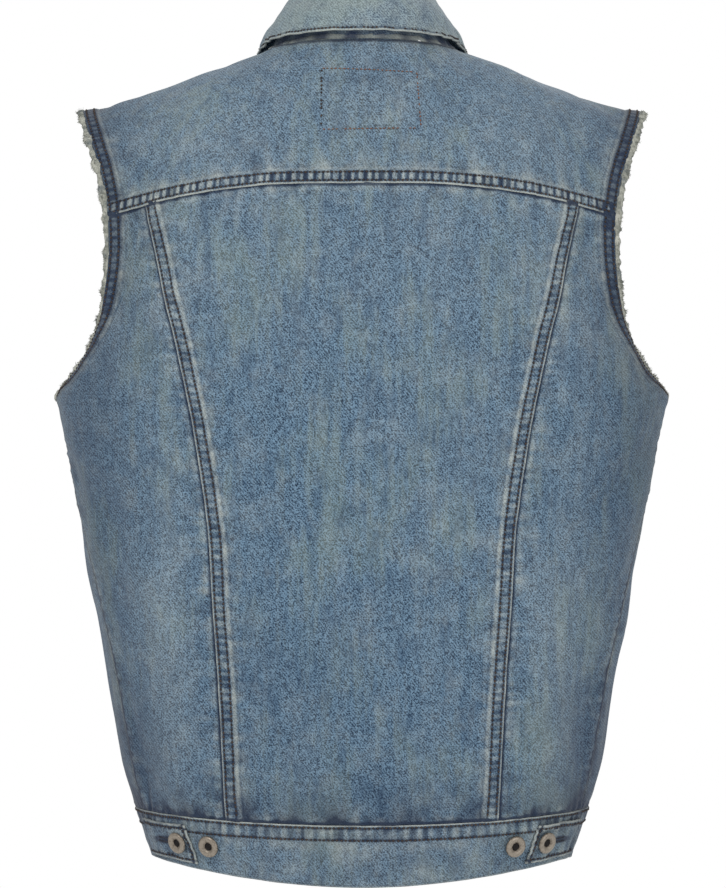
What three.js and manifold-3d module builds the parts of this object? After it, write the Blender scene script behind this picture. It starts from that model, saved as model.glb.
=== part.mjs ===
// Sleeveless denim trucker vest, filled out as if worn, in millimetres.
// +Z is up, +Y is the wearer's front and +X the wearer's right. The origin lies midway between
// the two points where a shoulder seam meets the neck seam.
//
// The cloth follows one smooth shell, shell(face, s, v). s runs from 0 at the centre back or centre
// front to 1 at the side seam or armhole edge, and is negative on the wearer's left. v runs from 0 at
// the hem to 1 at the level that ends in the armpit, and on to 2 at the neck and shoulder seams.
import * as THREE from "three";
import Module from "manifold-3d";
import { mergeVertices } from "three/addons/utils/BufferGeometryUtils.js";

const BACK = 1;
const FRONT = -1;
const RIGHT = 1;
const LEFT = -1;

// Cloth and seams
const CLOTH = 1.6; // one layer of washed denim
const LAP = 1.1; // what a felled seam stands proud of the panels
const SEAM_GAP = 0.3;
const NECK_GAP = 1.1; // more, as collar and neck bend apart
const REST_GAP = 0.5; // between a piece and the cloth that it lies on

// Levels
const HEM = -631.5;
const WAIST_SEAM = -593.5;
const ARMPIT = -273;

// Horizontal sections of the torso. height is the level at the side seam and drop is how much lower the
// same level runs at the centre. width, back and front are reaches from the axis, and seam is the side
// seam's angle from the centre back, in degrees.
const TORSO = [
  { height: -631.5, drop: 14.5, width: 164.7, back: 111, front: 107.5, seam: 71 },
  { height: -593.5, drop: 4.5, width: 177.5, back: 118, front: 114, seam: 68 },
  { height: -560, drop: 4, width: 187.5, back: 121, front: 118, seam: 67 },
  { height: -480, drop: 10, width: 201.5, back: 118, front: 121, seam: 68.5 },
  { height: -400, drop: 22, width: 215, back: 120, front: 124, seam: 76 },
  { height: -330, drop: 38, width: 228.7, back: 124, front: 125, seam: 87 },
  { height: -273, drop: 49, width: 240, back: 128, front: 123, seam: 91 },
];
const SQUARENESS = 2.3; // exponent of the section: 2 is an ellipse

// Neck seam: a tilted oval, highest at the centre back
const NECK = { halfWidth: 76, seamY: 10, backY: -72, frontY: 84, backZ: 2, frontZ: -84, share: 0.27 };

// Shoulder seam, from the neck to the armhole
const SHOULDER = { length: 143, fall: 49.5, sag: 0.69 };

// Reach of the armhole edge from the centre plane, by height
const ARMHOLE = {
  [BACK]: [
    { height: -273, reach: 240 },
    { height: -263, reach: 230 },
    { height: -253, reach: 220.8 },
    { height: -244, reach: 214.8 },
    { height: -235, reach: 209.2 },
    { height: -216.5, reach: 201.3 },
    { height: -189, reach: 196 },
    { height: -160, reach: 193.6 },
    { height: -130, reach: 195.4 },
    { height: -104, reach: 200.2 },
    { height: -75, reach: 209.8 },
    { height: -49.5, reach: 219 },
  ],
  [FRONT]: [
    { height: -273, reach: 240 },
    { height: -262, reach: 230 },
    { height: -247, reach: 214 },
    { height: -220, reach: 196 },
    { height: -190, reach: 187 },
    { height: -150, reach: 186 },
    { height: -110, reach: 192 },
    { height: -75, reach: 206 },
    { height: -49.5, reach: 219 },
  ],
};
const CORNER_PULL = { [BACK]: 1.42, [FRONT]: 0.9 }; // how full the shell is behind and before the shoulder
const SHOULDER_PULL = { [BACK]: 1.45, [FRONT]: 1.15 };
const ARMHOLE_TURN = 62; // degrees from upright in which the armhole edge leaves the side seam
const ARMHOLE_BLEND = 1.4; // how sharply its shaping fades towards the centre

// How far the armhole edge stands out behind and before the arm. It is full between the first two
// heights above the armpit, fades out at the last, and reaches inwards more sharply than the shaping.
const FLARE = { [BACK]: 26, [FRONT]: 20, full: 0.08, fade: 0.3, none: 0.95, blend: 5 };

// Back yoke's lower edge and the seams that run from it to the waistband
const YOKE_EDGE = [
  { reach: 0, height: -112 },
  { reach: 60, height: -113 },
  { reach: 110, height: -118 },
  { reach: 158, height: -126 },
  { reach: 200, height: -137 },
];
const PRINCESS = [
  { height: -598, reach: 103 },
  { height: -490, reach: 109 },
  { height: -435, reach: 113 },
  { height: -371, reach: 117 },
  { height: -296, reach: 128 },
  { height: -252, reach: 137 },
  { height: -193, reach: 150 },
  { height: -120, reach: 167 },
];

// Soft folds, each a ridge (height over 0) or trough along a line in the front or back view.
const FOLDS = [
  { face: BACK, x0: -160, z0: -430, x1: -136, z1: -592, breadth: 17, height: 4 },
  { face: BACK, x0: 138, z0: -420, x1: 152, z1: -590, breadth: 17, height: 4.5 },
  { face: BACK, x0: 178, z0: -500, x1: 160, z1: -596, breadth: 13, height: -3.5 },
  { face: BACK, x0: -182, z0: -510, x1: -160, z1: -596, breadth: 13, height: -3 },
  { face: BACK, x0: -40, z0: -540, x1: -62, z1: -596, breadth: 15, height: 2.5 },
  { face: BACK, x0: 48, z0: -545, x1: 40, z1: -597, breadth: 14, height: 2.2 },
  { face: BACK, x0: 190, z0: -240, x1: 120, z1: -180, breadth: 16, height: 2.5 },
  { face: BACK, x0: -188, z0: -232, x1: -130, z1: -190, breadth: 15, height: 2.2 },
  { face: BACK, x0: 222, z0: -318, x1: 190, z1: -352, breadth: 12, height: -3 },
  { face: BACK, x0: -222, z0: -330, x1: -190, z1: -370, breadth: 14, height: -2.5 },
  { face: FRONT, x0: -120, z0: -420, x1: -98, z1: -590, breadth: 18, height: 4 },
  { face: FRONT, x0: 112, z0: -430, x1: 124, z1: -588, breadth: 18, height: 4.5 },
  { face: FRONT, x0: -172, z0: -470, x1: -150, z1: -592, breadth: 15, height: -3.5 },
  { face: FRONT, x0: 176, z0: -450, x1: 158, z1: -590, breadth: 15, height: -3.5 },
  { face: FRONT, x0: -176, z0: -235, x1: -105, z1: -205, breadth: 17, height: 3 },
  { face: FRONT, x0: 172, z0: -225, x1: 110, z1: -190, breadth: 16, height: 2.5 },
  { face: FRONT, x0: -62, z0: -530, x1: -54, z1: -594, breadth: 14, height: 2.5 },
  { face: FRONT, x0: 66, z0: -520, x1: 60, z1: -594, breadth: 15, height: 2.5 },
];

// Raised laps and bands
const YOKE_LAP = 11;
const PRINCESS_LAP = 11.5;
const ARMHOLE_BAND = 10.5; // also the width of the side seam's lap
const LAP_STEP = 0.8; // in which a lap's inner edge drops to the panel
const FRAY = { root: 2.2, shortest: 2.8, longest: 6.2, thickness: 1.3, locks: 72 };

// Front closure: the wearer's left front laps over the right
const CLOSURE = { overlap: 15, placket: 36, ease: 22 };
const BAND_CLOTH = 2.4; // both layers of the waistband

// Collar, all round from one front end to the other
const COLLAR = {
  cloth: 1.8,
  fold: { halfWidth: 52, backY: -58, frontY: 80, backZ: 41, sideZ: 40, frontZ: -62 },
  roll: 3.2, // radius of the fold
  leafBack: { y: -82, z: 10 },
  leafSide: { x: 80, y: 10, z: 5.5 },
  leafWide: { x: 92, z: -58 },
  leafTip: { x: 58, z: -128 },
  clear: 7, // from a front's middle to the leaf's
};

// Waist tabs, wrapped on the waistband from the side seams towards the back
// A tab spans so many columns of the band and a little beyond.
const TAB = { columns: 5, beyond: 4, slant: 7, low: 0.13, high: 0.84, cloth: 2.2 };

// Shank buttons with an open centre
const BUTTON = { radius: 8.5, rim: 7.2, inner: 5, well: 2.6, shank: 2.4, head: 3, sides: 14 };
const FRONT_BUTTONS = [-108, -206, -304, -402, -500];
const TAB_BUTTON_IN = 8; // from the tab's last column to its button
const SPARE_BUTTON_ON = 19; // and from there on to the spare button
const BUTTONHOLE = { radius: 3.1, length: 13 };

const degrees = THREE.MathUtils.degToRad;
const vec = (x, y, z) => new THREE.Vector3(x, y, z);
const mix = (a, b, t) => a + (b - a) * t;
const smooth = (t) => {
  const c = Math.min(1, Math.max(0, t));
  return c * c * (3 - 2 * c);
};

// A smooth curve through a table's rows: value in column `out` against column `by`.
function spline(table, by, out) {
  const xs = table.map((row) => row[by]);
  const ys = table.map((row) => row[out]);
  const slope = (i) => {
    const a = Math.max(0, i - 1);
    const b = Math.min(xs.length - 1, i + 1);
    return (ys[b] - ys[a]) / (xs[b] - xs[a]);
  };
  return (x) => {
    if (x <= xs[0]) return ys[0] + slope(0) * (x - xs[0]);
    if (x >= xs[xs.length - 1]) return ys[ys.length - 1] + slope(xs.length - 1) * (x - xs[xs.length - 1]);
    const i = xs.findIndex((_, k) => x < xs[k + 1]);
    const gap = xs[i + 1] - xs[i];
    return hermite(ys[i], slope(i) * gap, ys[i + 1], slope(i + 1) * gap, (x - xs[i]) / gap);
  };
}

function hermite(p0, m0, p1, m1, t) {
  const t2 = t * t;
  const t3 = t2 * t;
  return (2 * t3 - 3 * t2 + 1) * p0 + (t3 - 2 * t2 + t) * m0 + (3 * t2 - 2 * t3) * p1 + (t3 - t2) * m1;
}

const torso = Object.fromEntries(
  ["drop", "width", "back", "front", "seam"].map((column) => [column, spline(TORSO, "height", column)]),
);
const armholeReach = {
  [BACK]: spline(ARMHOLE[BACK], "height", "reach"),
  [FRONT]: spline(ARMHOLE[FRONT], "height", "reach"),
};
const yokeHeight = spline(YOKE_EDGE, "reach", "height");
const princessReach = spline(PRINCESS, "height", "reach");

// The torso below the armpit, right half. s and v as above, v up to 1.
function lower(face, s, v) {
  const side = mix(HEM, ARMPIT, v);
  const z = side - torso.drop(side) * Math.cos((s * Math.PI) / 2) ** 2;
  const seam = torso.seam(side);
  const angle = degrees(face === BACK ? s * seam : 180 - s * (180 - seam));
  const sin = Math.sin(angle);
  const cos = Math.cos(angle);
  const round = (Math.abs(sin) ** SQUARENESS + Math.abs(cos) ** SQUARENESS) ** (-1 / SQUARENESS);
  const depth = cos > 0 ? torso.back(z) : torso.front(z);
  return vec(torso.width(z) * sin * round, -depth * cos * round, z);
}

// Neck seam and shoulder seam, where the shell ends at v = 2.
function topEdge(face, s) {
  if (s > NECK.share) {
    const w = (s - NECK.share) / (1 - NECK.share);
    const fall = SHOULDER.fall * (w + SHOULDER.sag * w * w * (1 - w));
    return vec(NECK.halfWidth + SHOULDER.length * w, NECK.seamY, -fall);
  }
  const turn = (s / NECK.share) * (Math.PI / 2);
  const cos = Math.cos(turn);
  const y = face === BACK ? NECK.backY : NECK.frontY;
  const z = face === BACK ? NECK.backZ * cos * cos : NECK.frontZ * Math.abs(cos) ** 1.3;
  return vec(NECK.halfWidth * Math.sin(turn), mix(NECK.seamY, y, cos), z);
}

// Direction in which the shell reaches that edge: square to it at the centre, along the shoulder where
// that meets the neck, and straight over the shoulder further out.
function topDirection(face, s) {
  const centre = face === BACK ? vec(0, 0.36, 0.8) : vec(0, -0.35, 0.94);
  const corner = vec(-0.24, face * 0.96, 0.12).multiplyScalar(CORNER_PULL[face]);
  const shoulder = vec(0, face * 0.99, face * -0.13).multiplyScalar(SHOULDER_PULL[face]);
  if (s > NECK.share) {
    const w = (s - NECK.share) / (1 - NECK.share);
    return corner.lerp(shoulder, 1 - (1 - w) ** 2);
  }
  const turn = (s / NECK.share) * (Math.PI / 2);
  const sideways = corner.x * Math.sin(turn);
  return centre.lerp(corner, 1 - Math.cos(turn)).setX(sideways);
}

const TINY = 1e-3;

// The shell above that level, before the armhole is shaped. t is v - 1.
function risingPoint(face, s, t) {
  const foot = lower(face, s, 1);
  const up = foot.clone().sub(lower(face, s, 1 - TINY)).normalize();
  const out = lower(face, s + TINY, 1).sub(foot).normalize();
  const turn = degrees(ARMHOLE_TURN) * smooth((s - 0.45) / 0.55);
  const top = topEdge(face, s);
  const reach = foot.distanceTo(top);
  const leave = up.multiplyScalar(Math.cos(turn)).addScaledVector(out, -Math.sin(turn));
  leave.multiplyScalar(reach * (1 + 0.15 * smooth((s - 0.45) / 0.55)));
  const arrive = topDirection(face, s).multiplyScalar(reach);
  return vec(
    ...["x", "y", "z"].map((k) => hermite(foot[k], leave[k], top[k], arrive[k], t)),
  );
}

const edgeShaping = new Map();
function upper(face, s, t) {
  const p = risingPoint(face, s, t);
  const key = face * 10 + Math.round(t * 1e6) / 1e6;
  if (!edgeShaping.has(key)) {
    const edge = risingPoint(face, 1, t);
    edgeShaping.set(key, armholeReach[face](edge.z) - edge.x);
  }
  p.x += edgeShaping.get(key) * Math.max(0, s) ** ARMHOLE_BLEND;
  const fading = 1 - smooth((t - FLARE.fade) / (FLARE.none - FLARE.fade));
  const flare = FLARE[face] * smooth(t / FLARE.full) * fading;
  p.y -= face * flare * Math.max(0, s) ** FLARE.blend;
  return p;
}

function smoothShell(face, s, v) {
  const a = Math.abs(s);
  const p = v <= 1 ? lower(face, a, v) : upper(face, a, v - 1);
  if (s < 0) p.x = -p.x;
  return p;
}

function normalOf(surface, face, s, v) {
  const along = surface(face, s + TINY, v).sub(surface(face, s - TINY, v));
  const up = surface(face, s, v + TINY).sub(surface(face, s, v - TINY));
  return along.cross(up).normalize().multiplyScalar(face);
}

// How far the folds lift the cloth at a point.
function foldHeight(face, p) {
  let sum = 0;
  for (const f of FOLDS) {
    if (f.face !== face) continue;
    const dx = f.x1 - f.x0;
    const dz = f.z1 - f.z0;
    const length = Math.hypot(dx, dz);
    const along = ((p.x - f.x0) * dx + (p.z - f.z0) * dz) / length;
    const across = ((p.x - f.x0) * dz - (p.z - f.z0) * dx) / length;
    const past = Math.max(0, -along, along - length) / (1.6 * f.breadth);
    sum += f.height * Math.exp(-((across / f.breadth) ** 2) - past * past);
  }
  return sum;
}

// v at the waist seam, above the waistband
const V_WAIST = (WAIST_SEAM - HEM) / (ARMPIT - HEM);

// The folds die out at the side, shoulder, neck and waist seams, so that the pieces still meet.
function shell(face, s, v) {
  const p = smoothShell(face, s, v);
  const fade = smooth((1 - Math.abs(s)) / 0.1) * smooth((2 - v) / 0.15) * smooth((v - V_WAIST) / 0.08);
  return fade > 0 ? p.addScaledVector(normalOf(smoothShell, face, s, v), fade * foldHeight(face, p)) : p;
}

// A point moved out from the shell along its normal.
function moved(face, s, v, out) {
  const n = normalOf(shell, face, s, v);
  return { point: shell(face, s, v).addScaledVector(n, out), normal: n };
}

// Millimetres square to a line of s, or of v, for one unit of the other.
function perUnit(face, s, v) {
  const ds = shell(face, s + TINY, v).sub(shell(face, s - TINY, v)).divideScalar(2 * TINY);
  const dv = shell(face, s, v + TINY).sub(shell(face, s, v - TINY)).divideScalar(2 * TINY);
  const area = ds.clone().cross(dv).length();
  return { s: area / dv.length(), v: area / ds.length() };
}

// Where test(value) passes zero between low and high.
function root(test, low, high) {
  const rising = test(high) > test(low);
  for (let k = 0; k < 30; k++) {
    const middle = (low + high) / 2;
    if (test(middle) > 0 === rising) high = middle;
    else low = middle;
  }
  return (low + high) / 2;
}

// Seam lines on the shell: v of the yoke's edge and s of the princess seam
const vYoke = (s) => root((v) => {
  const p = smoothShell(BACK, s, v);
  return p.z - yokeHeight(Math.abs(p.x));
}, 1.05, 1.98);
const sPrincess = (v) => root((s) => {
  const p = smoothShell(BACK, s, v);
  return p.x - princessReach(p.z);
}, 0.1, 0.98);
const sAtX = (face, x) => (v) => root((s) => smoothShell(face, s, v).x - x, -0.5, 0.5);
const vAtZ = (face, s, z) => root((v) => smoothShell(face, s, v).z - z, 0, 2);

// Lines beside another line, so many millimetres on.
const sBeside = (face, line, mm) => (v) => line(v) + mm / perUnit(face, line(v), v).s;
const vBeside = (face, line, mm) => (s) => line(s) + mm / perUnit(face, s, line(s)).v;
const level = (value) => () => value;
const plus = (...lines) => lines.map((at) => ({ at, lift: level(0) }));
const raised = (...lines) => lines.map((at) => ({ at, lift: level(1) }));

// Lines spread between two others, without those two.
function between(from, to, count) {
  return plus(...Array.from({ length: count - 1 }, (_, k) => (q) => mix(from(q), to(q), (k + 1) / count)));
}

// Closed wall through a grid of spots, grid[j][i] = { point, normal, lift }. lift moves the outer face.
function wall(grid, thickness, ring = false) {
  const rows = grid.length;
  const across = grid[0].length;
  const count = rows * across;
  const positions = new Float32Array(count * 6);
  grid.flat().forEach(({ point, normal, lift = 0 }, k) => {
    point.clone().addScaledVector(normal, thickness / 2 + lift).toArray(positions, k * 3);
    point.clone().addScaledVector(normal, -thickness / 2).toArray(positions, (count + k) * 3);
  });
  const index = [];
  const quad = (a, b, c, d) => index.push(a, b, c, a, c, d);
  const columns = ring ? across : across - 1;
  for (let i = 0; i < columns; i++) {
    const next = (i + 1) % across;
    for (let j = 0; j + 1 < rows; j++) {
      const low = j * across;
      quad(low + i, low + next, low + across + next, low + across + i);
      quad(count + low + i, count + low + across + i, count + low + across + next, count + low + next);
    }
    const top = count - across;
    quad(i, count + i, count + next, next);
    quad(top + i, top + next, count + top + next, count + top + i);
  }
  for (let j = 0; j + 1 < rows && !ring; j++) {
    const a = j * across;
    const b = a + across - 1;
    quad(a, a + across, count + a + across, count + a);
    quad(b, count + b, count + b + across, b + across);
  }
  return closed(positions, index);
}

// A mesh from positions and triangles, turned round if it is inside out.
function closed(positions, index) {
  const geometry = new THREE.BufferGeometry();
  geometry.setAttribute("position", new THREE.BufferAttribute(new Float32Array(positions), 3));
  geometry.setIndex(index);
  const p = geometry.getAttribute("position");
  const corner = (k) => vec(0, 0, 0).fromBufferAttribute(p, index[k]);
  let volume = 0;
  for (let k = 0; k < index.length; k += 3) volume += corner(k).dot(corner(k + 1).cross(corner(k + 2)));
  if (volume < 0) {
    for (let k = 0; k < index.length; k += 3) [index[k + 1], index[k + 2]] = [index[k + 2], index[k + 1]];
    geometry.setIndex(index);
  }
  return geometry;
}

// Spots of a panel at each crossing of its columns (lines of s) and rows (lines of v).
function spots(face, columns, rows, out = () => 0) {
  return rows.map((row) => columns.map((column) => {
    let v = row.at(0.5);
    let s = column.at(v);
    for (let k = 0; k < 5; k++) {
      v = row.at(s);
      s = column.at(v);
    }
    const normal = normalOf(shell, face, s, v);
    const point = shell(face, s, v).addScaledVector(normal, out(s, v));
    return { point, normal, s, v, lift: LAP * Math.max(column.lift(v), row.lift(s)) };
  }));
}

const wasm = await Module();
wasm.setup();

function solidOf(geometry) {
  const vertProperties = new Float32Array(geometry.getAttribute("position").array);
  const triVerts = new Uint32Array(geometry.getIndex().array);
  return new wasm.Manifold(new wasm.Mesh({ numProp: 3, vertProperties, triVerts }));
}

function geometryOf(solid) {
  const mesh = solid.getMesh();
  const points = [];
  for (let k = 0; k < mesh.vertProperties.length; k += mesh.numProp) {
    points.push(...mesh.vertProperties.slice(k, k + 3));
  }
  return closed(points, [...mesh.triVerts]);
}

const vest = new THREE.Group();
vest.name = "denim_vest";
const denim = new THREE.MeshStandardMaterial({ color: 0x667d92, roughness: 0.92 });
const raveled = new THREE.MeshStandardMaterial({ color: 0xb9bbb4, roughness: 0.97 });
const oldCopper = new THREE.MeshStandardMaterial({ color: 0x8b7b6c, roughness: 0.45, metalness: 0.9 });

function add(name, geometry, material) {
  const mesh = new THREE.Mesh(geometry, material);
  mesh.name = name;
  mesh.geometry.computeVertexNormals();
  vest.add(mesh);
}

// Rows that the back's side panels and the fronts share, so that the side seams match.
const HALF = SEAM_GAP / 2;
const fromWaist = (face) => vBeside(face, level(V_WAIST), 3 * HALF);
const LOW_ROWS = 9;

const bodyRows = (face) => [
  ...plus(fromWaist(face)),
  ...between(level(V_WAIST), level(1), LOW_ROWS),
  ...plus(level(1)),
];
const backRows = [
  ...bodyRows(BACK),
  ...between(level(1), vYoke, 5),
  ...plus(vBeside(BACK, vYoke, -3 * HALF)),
];
const yokeRows = [
  ...raised(vBeside(BACK, vYoke, HALF), vBeside(BACK, vYoke, YOKE_LAP)),
  ...plus(vBeside(BACK, vYoke, YOKE_LAP + LAP_STEP)),
  ...between(vBeside(BACK, vYoke, YOKE_LAP + LAP_STEP), level(2), 6),
  ...plus(vBeside(BACK, level(2), -HALF)),
];
const frontRows = [
  ...bodyRows(FRONT),
  ...between(level(1), level(2), 9),
  ...plus(vBeside(FRONT, level(2), -HALF)),
];

// Columns at the side seam and armhole, from the panel outwards. The back carries a band only from
// the armpit up, the front also a lap down its side seam.
function edgeColumns(face, side) {
  const edge = level(side);
  const lift = face === FRONT ? level(1) : (v) => smooth((v - 0.97) / 0.03);
  return [
    ...plus(sBeside(face, edge, -side * (ARMHOLE_BAND + LAP_STEP))),
    { at: sBeside(face, edge, -side * ARMHOLE_BAND), lift },
    { at: (v) => (v > 1 ? side : side - (side * HALF) / perUnit(face, side, v).s), lift },
  ];
}

const neckColumns = (side, count) => between(level(0), level(side * NECK.share), count);
function yokeHalf(side) {
  return [
    ...neckColumns(side, 4),
    ...plus(level(side * NECK.share)),
    ...between(level(side * NECK.share), level(side * 0.94), 7),
    ...edgeColumns(BACK, side),
  ];
}
const yokeColumns = [...yokeHalf(LEFT).reverse(), ...plus(level(0)), ...yokeHalf(RIGHT)];
const yokeSpots = spots(BACK, yokeColumns, yokeRows);
add("back_yoke", wall(yokeSpots, CLOTH), denim);

// The centre back laps over the side panels along the princess seams.
function centreEdge(side) {
  const seam = (v) => side * sPrincess(v);
  return [
    ...plus(sBeside(BACK, seam, -side * (PRINCESS_LAP + LAP_STEP))),
    ...raised(sBeside(BACK, seam, -side * PRINCESS_LAP), sBeside(BACK, seam, -side * HALF)),
  ];
}
const centreColumns = [
  ...centreEdge(LEFT).reverse(),
  ...between(centreEdge(LEFT)[0].at, level(-NECK.share), 2),
  ...plus(level(-NECK.share)),
  ...between(level(-NECK.share), level(NECK.share), 8),
  ...plus(level(NECK.share)),
  ...between(level(NECK.share), centreEdge(RIGHT)[0].at, 2),
  ...centreEdge(RIGHT),
];
add("back_center_panel", wall(spots(BACK, centreColumns, backRows), CLOTH), denim);

const armholeEdges = { [LEFT]: [], [RIGHT]: [] };
const SIDES = [[LEFT, "left"], [RIGHT, "right"]];
for (const [side, name] of SIDES) {
  const seam = sBeside(BACK, (v) => side * sPrincess(v), side * HALF);
  const edge = edgeColumns(BACK, side);
  const grid = spots(BACK, [...plus(seam), ...between(seam, edge[0].at, 4), ...edge], backRows);
  add(`back_side_panel_${name}`, wall(grid, CLOTH), denim);
  armholeEdges[side].push(...grid.slice(LOW_ROWS).map((row) => row.slice(-2)));
  const ofYoke = yokeSpots.map((row) => (side === RIGHT ? row.slice(-2) : [row[1], row[0]]));
  armholeEdges[side].push(...ofYoke);
}

// The right front steps in under the left one, by its own thickness and the gap.
const stepIn = (depth) => (s, v) => {
  const x = smoothShell(FRONT, s, v).x;
  return -depth * smooth((CLOSURE.overlap + CLOSURE.ease - x) / CLOSURE.ease);
};
const under = (thickness) => stepIn(thickness + REST_GAP);

// Columns of a front from its closing edge to the side seam.
function closureColumns(side) {
  const { overlap, placket, ease } = CLOSURE;
  const at = (x) => sAtX(FRONT, x);
  const lapped = [-1, -0.5, 0, 0.5, 1].map((share) => at(side * share * overlap));
  if (side === RIGHT) return plus(...lapped, at(overlap + ease / 2), at(overlap + ease));
  return [
    ...raised(...lapped, at(overlap - placket)),
    ...plus(at(overlap - placket - LAP_STEP), at(-overlap - ease)),
  ];
}
const frontColumns = (side) => [
  ...closureColumns(side),
  ...plus(...[0.135, 0.18, 0.225, 0.25, NECK.share].map((s) => level(side * s))),
  ...between(level(side * NECK.share), level(side * 0.94), 6),
  ...edgeColumns(FRONT, side),
];
const frontSpots = {};
for (const [side] of SIDES) {
  frontSpots[side] = spots(FRONT, frontColumns(side), frontRows, side === RIGHT ? under(CLOTH) : undefined);
  const upwards = frontSpots[side].slice(LOW_ROWS).map((row) => row.slice(-2));
  armholeEdges[side].push(...upwards.reverse());
}

// Waistband: one piece behind and one on each side in front
const BAND_COLUMNS = 32;
const bandRows = (face) => [
  ...plus(level(0), level(V_WAIST / 2), vBeside(face, level(V_WAIST), -HALF)),
];
const bandColumns = [
  ...plus(sBeside(BACK, level(-1), HALF)),
  ...between(level(-1), level(1), BAND_COLUMNS),
  ...plus(sBeside(BACK, level(1), -HALF)),
];
add("waistband_back", wall(spots(BACK, bandColumns, bandRows(BACK)), BAND_CLOTH), denim);
const bandSpots = {};
for (const [side] of SIDES) {
  const columns = [
    ...plus(...closureColumns(side).map((column) => column.at)),
    ...between(level(side * 0.13), level(side), 9),
    ...plus(sBeside(FRONT, level(side), -side * HALF)),
  ];
  bandSpots[side] = spots(FRONT, columns, bandRows(FRONT), side === RIGHT ? under(BAND_CLOTH) : undefined);
}

// Frame at a point of the shell: x along the cloth, y up it, z out of it.
function frameAt(face, s, v, out) {
  const normal = normalOf(shell, face, s, v);
  const along = shell(face, s + TINY, v).sub(shell(face, s - TINY, v)).normalize();
  const up = normal.clone().cross(along);
  const at = shell(face, s, v).addScaledVector(normal, out);
  return new THREE.Matrix4().makeBasis(along, up, normal).setPosition(at);
}

// A button turned about its shank, with a raised rim and an open centre.
function button(shank) {
  const { radius, rim, inner, well, head, sides } = BUTTON;
  const profile = [
    [BUTTON.shank, 0],
    [BUTTON.shank, shank],
    [rim, shank],
    [radius, shank + head * 0.45],
    [rim, shank + head],
    [inner, shank + head * 0.8],
    [well, shank + head * 0.2],
  ];
  const points = [0, 0, 0, 0, 0, profile.at(-1)[1]];
  const index = [];
  profile.forEach(([r, h], j) => {
    for (let i = 0; i < sides; i++) {
      const turn = (i / sides) * 2 * Math.PI;
      points.push(r * Math.cos(turn), r * Math.sin(turn), h);
      const next = (i + 1) % sides;
      const at = 2 + j * sides;
      if (j === 0) index.push(0, at + next, at + i);
      else index.push(at - sides + i, at - sides + next, at + next, at - sides + i, at + next, at + i);
      if (j === profile.length - 1) index.push(1, at + i, at + next);
    }
  });
  return closed(points, index);
}

// A slot through the cloth, with the button's shank at its middle end.
function buttonhole(towards) {
  const { radius, length } = BUTTONHOLE;
  const run = (length - 2 * radius) * towards;
  const outline = new THREE.Shape();
  outline.absarc(Math.max(run, 0), 0, radius, -Math.PI / 2, Math.PI / 2);
  outline.absarc(Math.min(run, 0), 0, radius, Math.PI / 2, (3 * Math.PI) / 2);
  const deep = 12;
  const slot = new THREE.ExtrudeGeometry(outline, { depth: deep, bevelEnabled: false, curveSegments: 4 });
  slot.deleteAttribute("uv").deleteAttribute("normal").translate(0, 0, -deep / 2);
  return mergeVertices(slot, 1e-4);
}

function withHoles(geometry, frames, towards) {
  let solid = solidOf(geometry);
  for (const frame of frames) {
    const slot = buttonhole(towards).applyMatrix4(frame);
    solid = solid.subtract(solidOf(closed(slot.getAttribute("position").array, [...slot.getIndex().array])));
  }
  return geometryOf(solid);
}

// Fronts, front bands and the buttons that close them
const frontFrames = FRONT_BUTTONS.map((z) => [0, vAtZ(FRONT, 0, z)]);
const holes = frontFrames.map(([s, v]) => frameAt(FRONT, s, v, 0));
const reversed = (grid) => grid.map((row) => [...row].reverse()); // so that both fronts split alike
const bandMiddle = V_WAIST / 2;
add("front_panel_left", withHoles(wall(reversed(frontSpots[LEFT]), CLOTH), holes, -1), denim);
add("front_panel_right", wall(frontSpots[RIGHT], CLOTH), denim);
const bandHole = [frameAt(FRONT, 0, bandMiddle, 0)];
add("waistband_front_left", withHoles(wall(reversed(bandSpots[LEFT]), BAND_CLOTH), bandHole, -1), denim);
add("waistband_front_right", wall(bandSpots[RIGHT], BAND_CLOTH), denim);
const passing = CLOTH + LAP + 3 * REST_GAP;
frontFrames.forEach(([s, v], k) => {
  const foot = -CLOTH / 2;
  add(`front_button_${k + 1}`, button(passing).applyMatrix4(frameAt(FRONT, s, v, foot)), oldCopper);
});
const bandFoot = -BAND_CLOTH / 2;
const bandPassing = BAND_CLOTH + 2 * REST_GAP;
add("waistband_button", button(bandPassing).applyMatrix4(frameAt(FRONT, 0, bandMiddle, bandFoot)), oldCopper);

// Waist tabs, on the same columns as the band beneath them, with a button in each and one beyond it
const tabStep = 2 / BAND_COLUMNS;
for (const [side, name] of SIDES) {
  const from = sBeside(BACK, level(side), -side * HALF);
  const lastColumn = level(side * (1 - TAB.columns * tabStep));
  const end = (v) => {
    const down = (TAB.high * V_WAIST - v) / ((TAB.high - TAB.low) * V_WAIST);
    return sBeside(BACK, lastColumn, side * (TAB.slant * (0.5 - down) - TAB.beyond))(v);
  };
  const grid = spots(
    BACK,
    [...plus(from), ...between(level(side), lastColumn, TAB.columns), ...plus(end)],
    plus(level(TAB.low * V_WAIST), level(V_WAIST / 2), level(TAB.high * V_WAIST)),
    level(BAND_CLOTH / 2 + REST_GAP + TAB.cloth / 2),
  );
  const tabAt = sBeside(BACK, lastColumn, side * TAB_BUTTON_IN)(bandMiddle);
  const spareAt = sBeside(BACK, lastColumn, -side * SPARE_BUTTON_ON)(bandMiddle);
  const foot = BAND_CLOTH / 2 + SEAM_GAP;
  add(`waist_tab_${name}`, withHoles(wall(grid, TAB.cloth), [frameAt(BACK, tabAt, bandMiddle, 3)], side), denim);
  const through = TAB.cloth + 2 * REST_GAP - SEAM_GAP;
  add(`tab_button_${name}`, button(through).applyMatrix4(frameAt(BACK, tabAt, bandMiddle, foot)), oldCopper);
  const spare = button(1.5).applyMatrix4(frameAt(BACK, spareAt, bandMiddle, foot));
  add(`spare_button_${name}`, spare, oldCopper);
}

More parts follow.
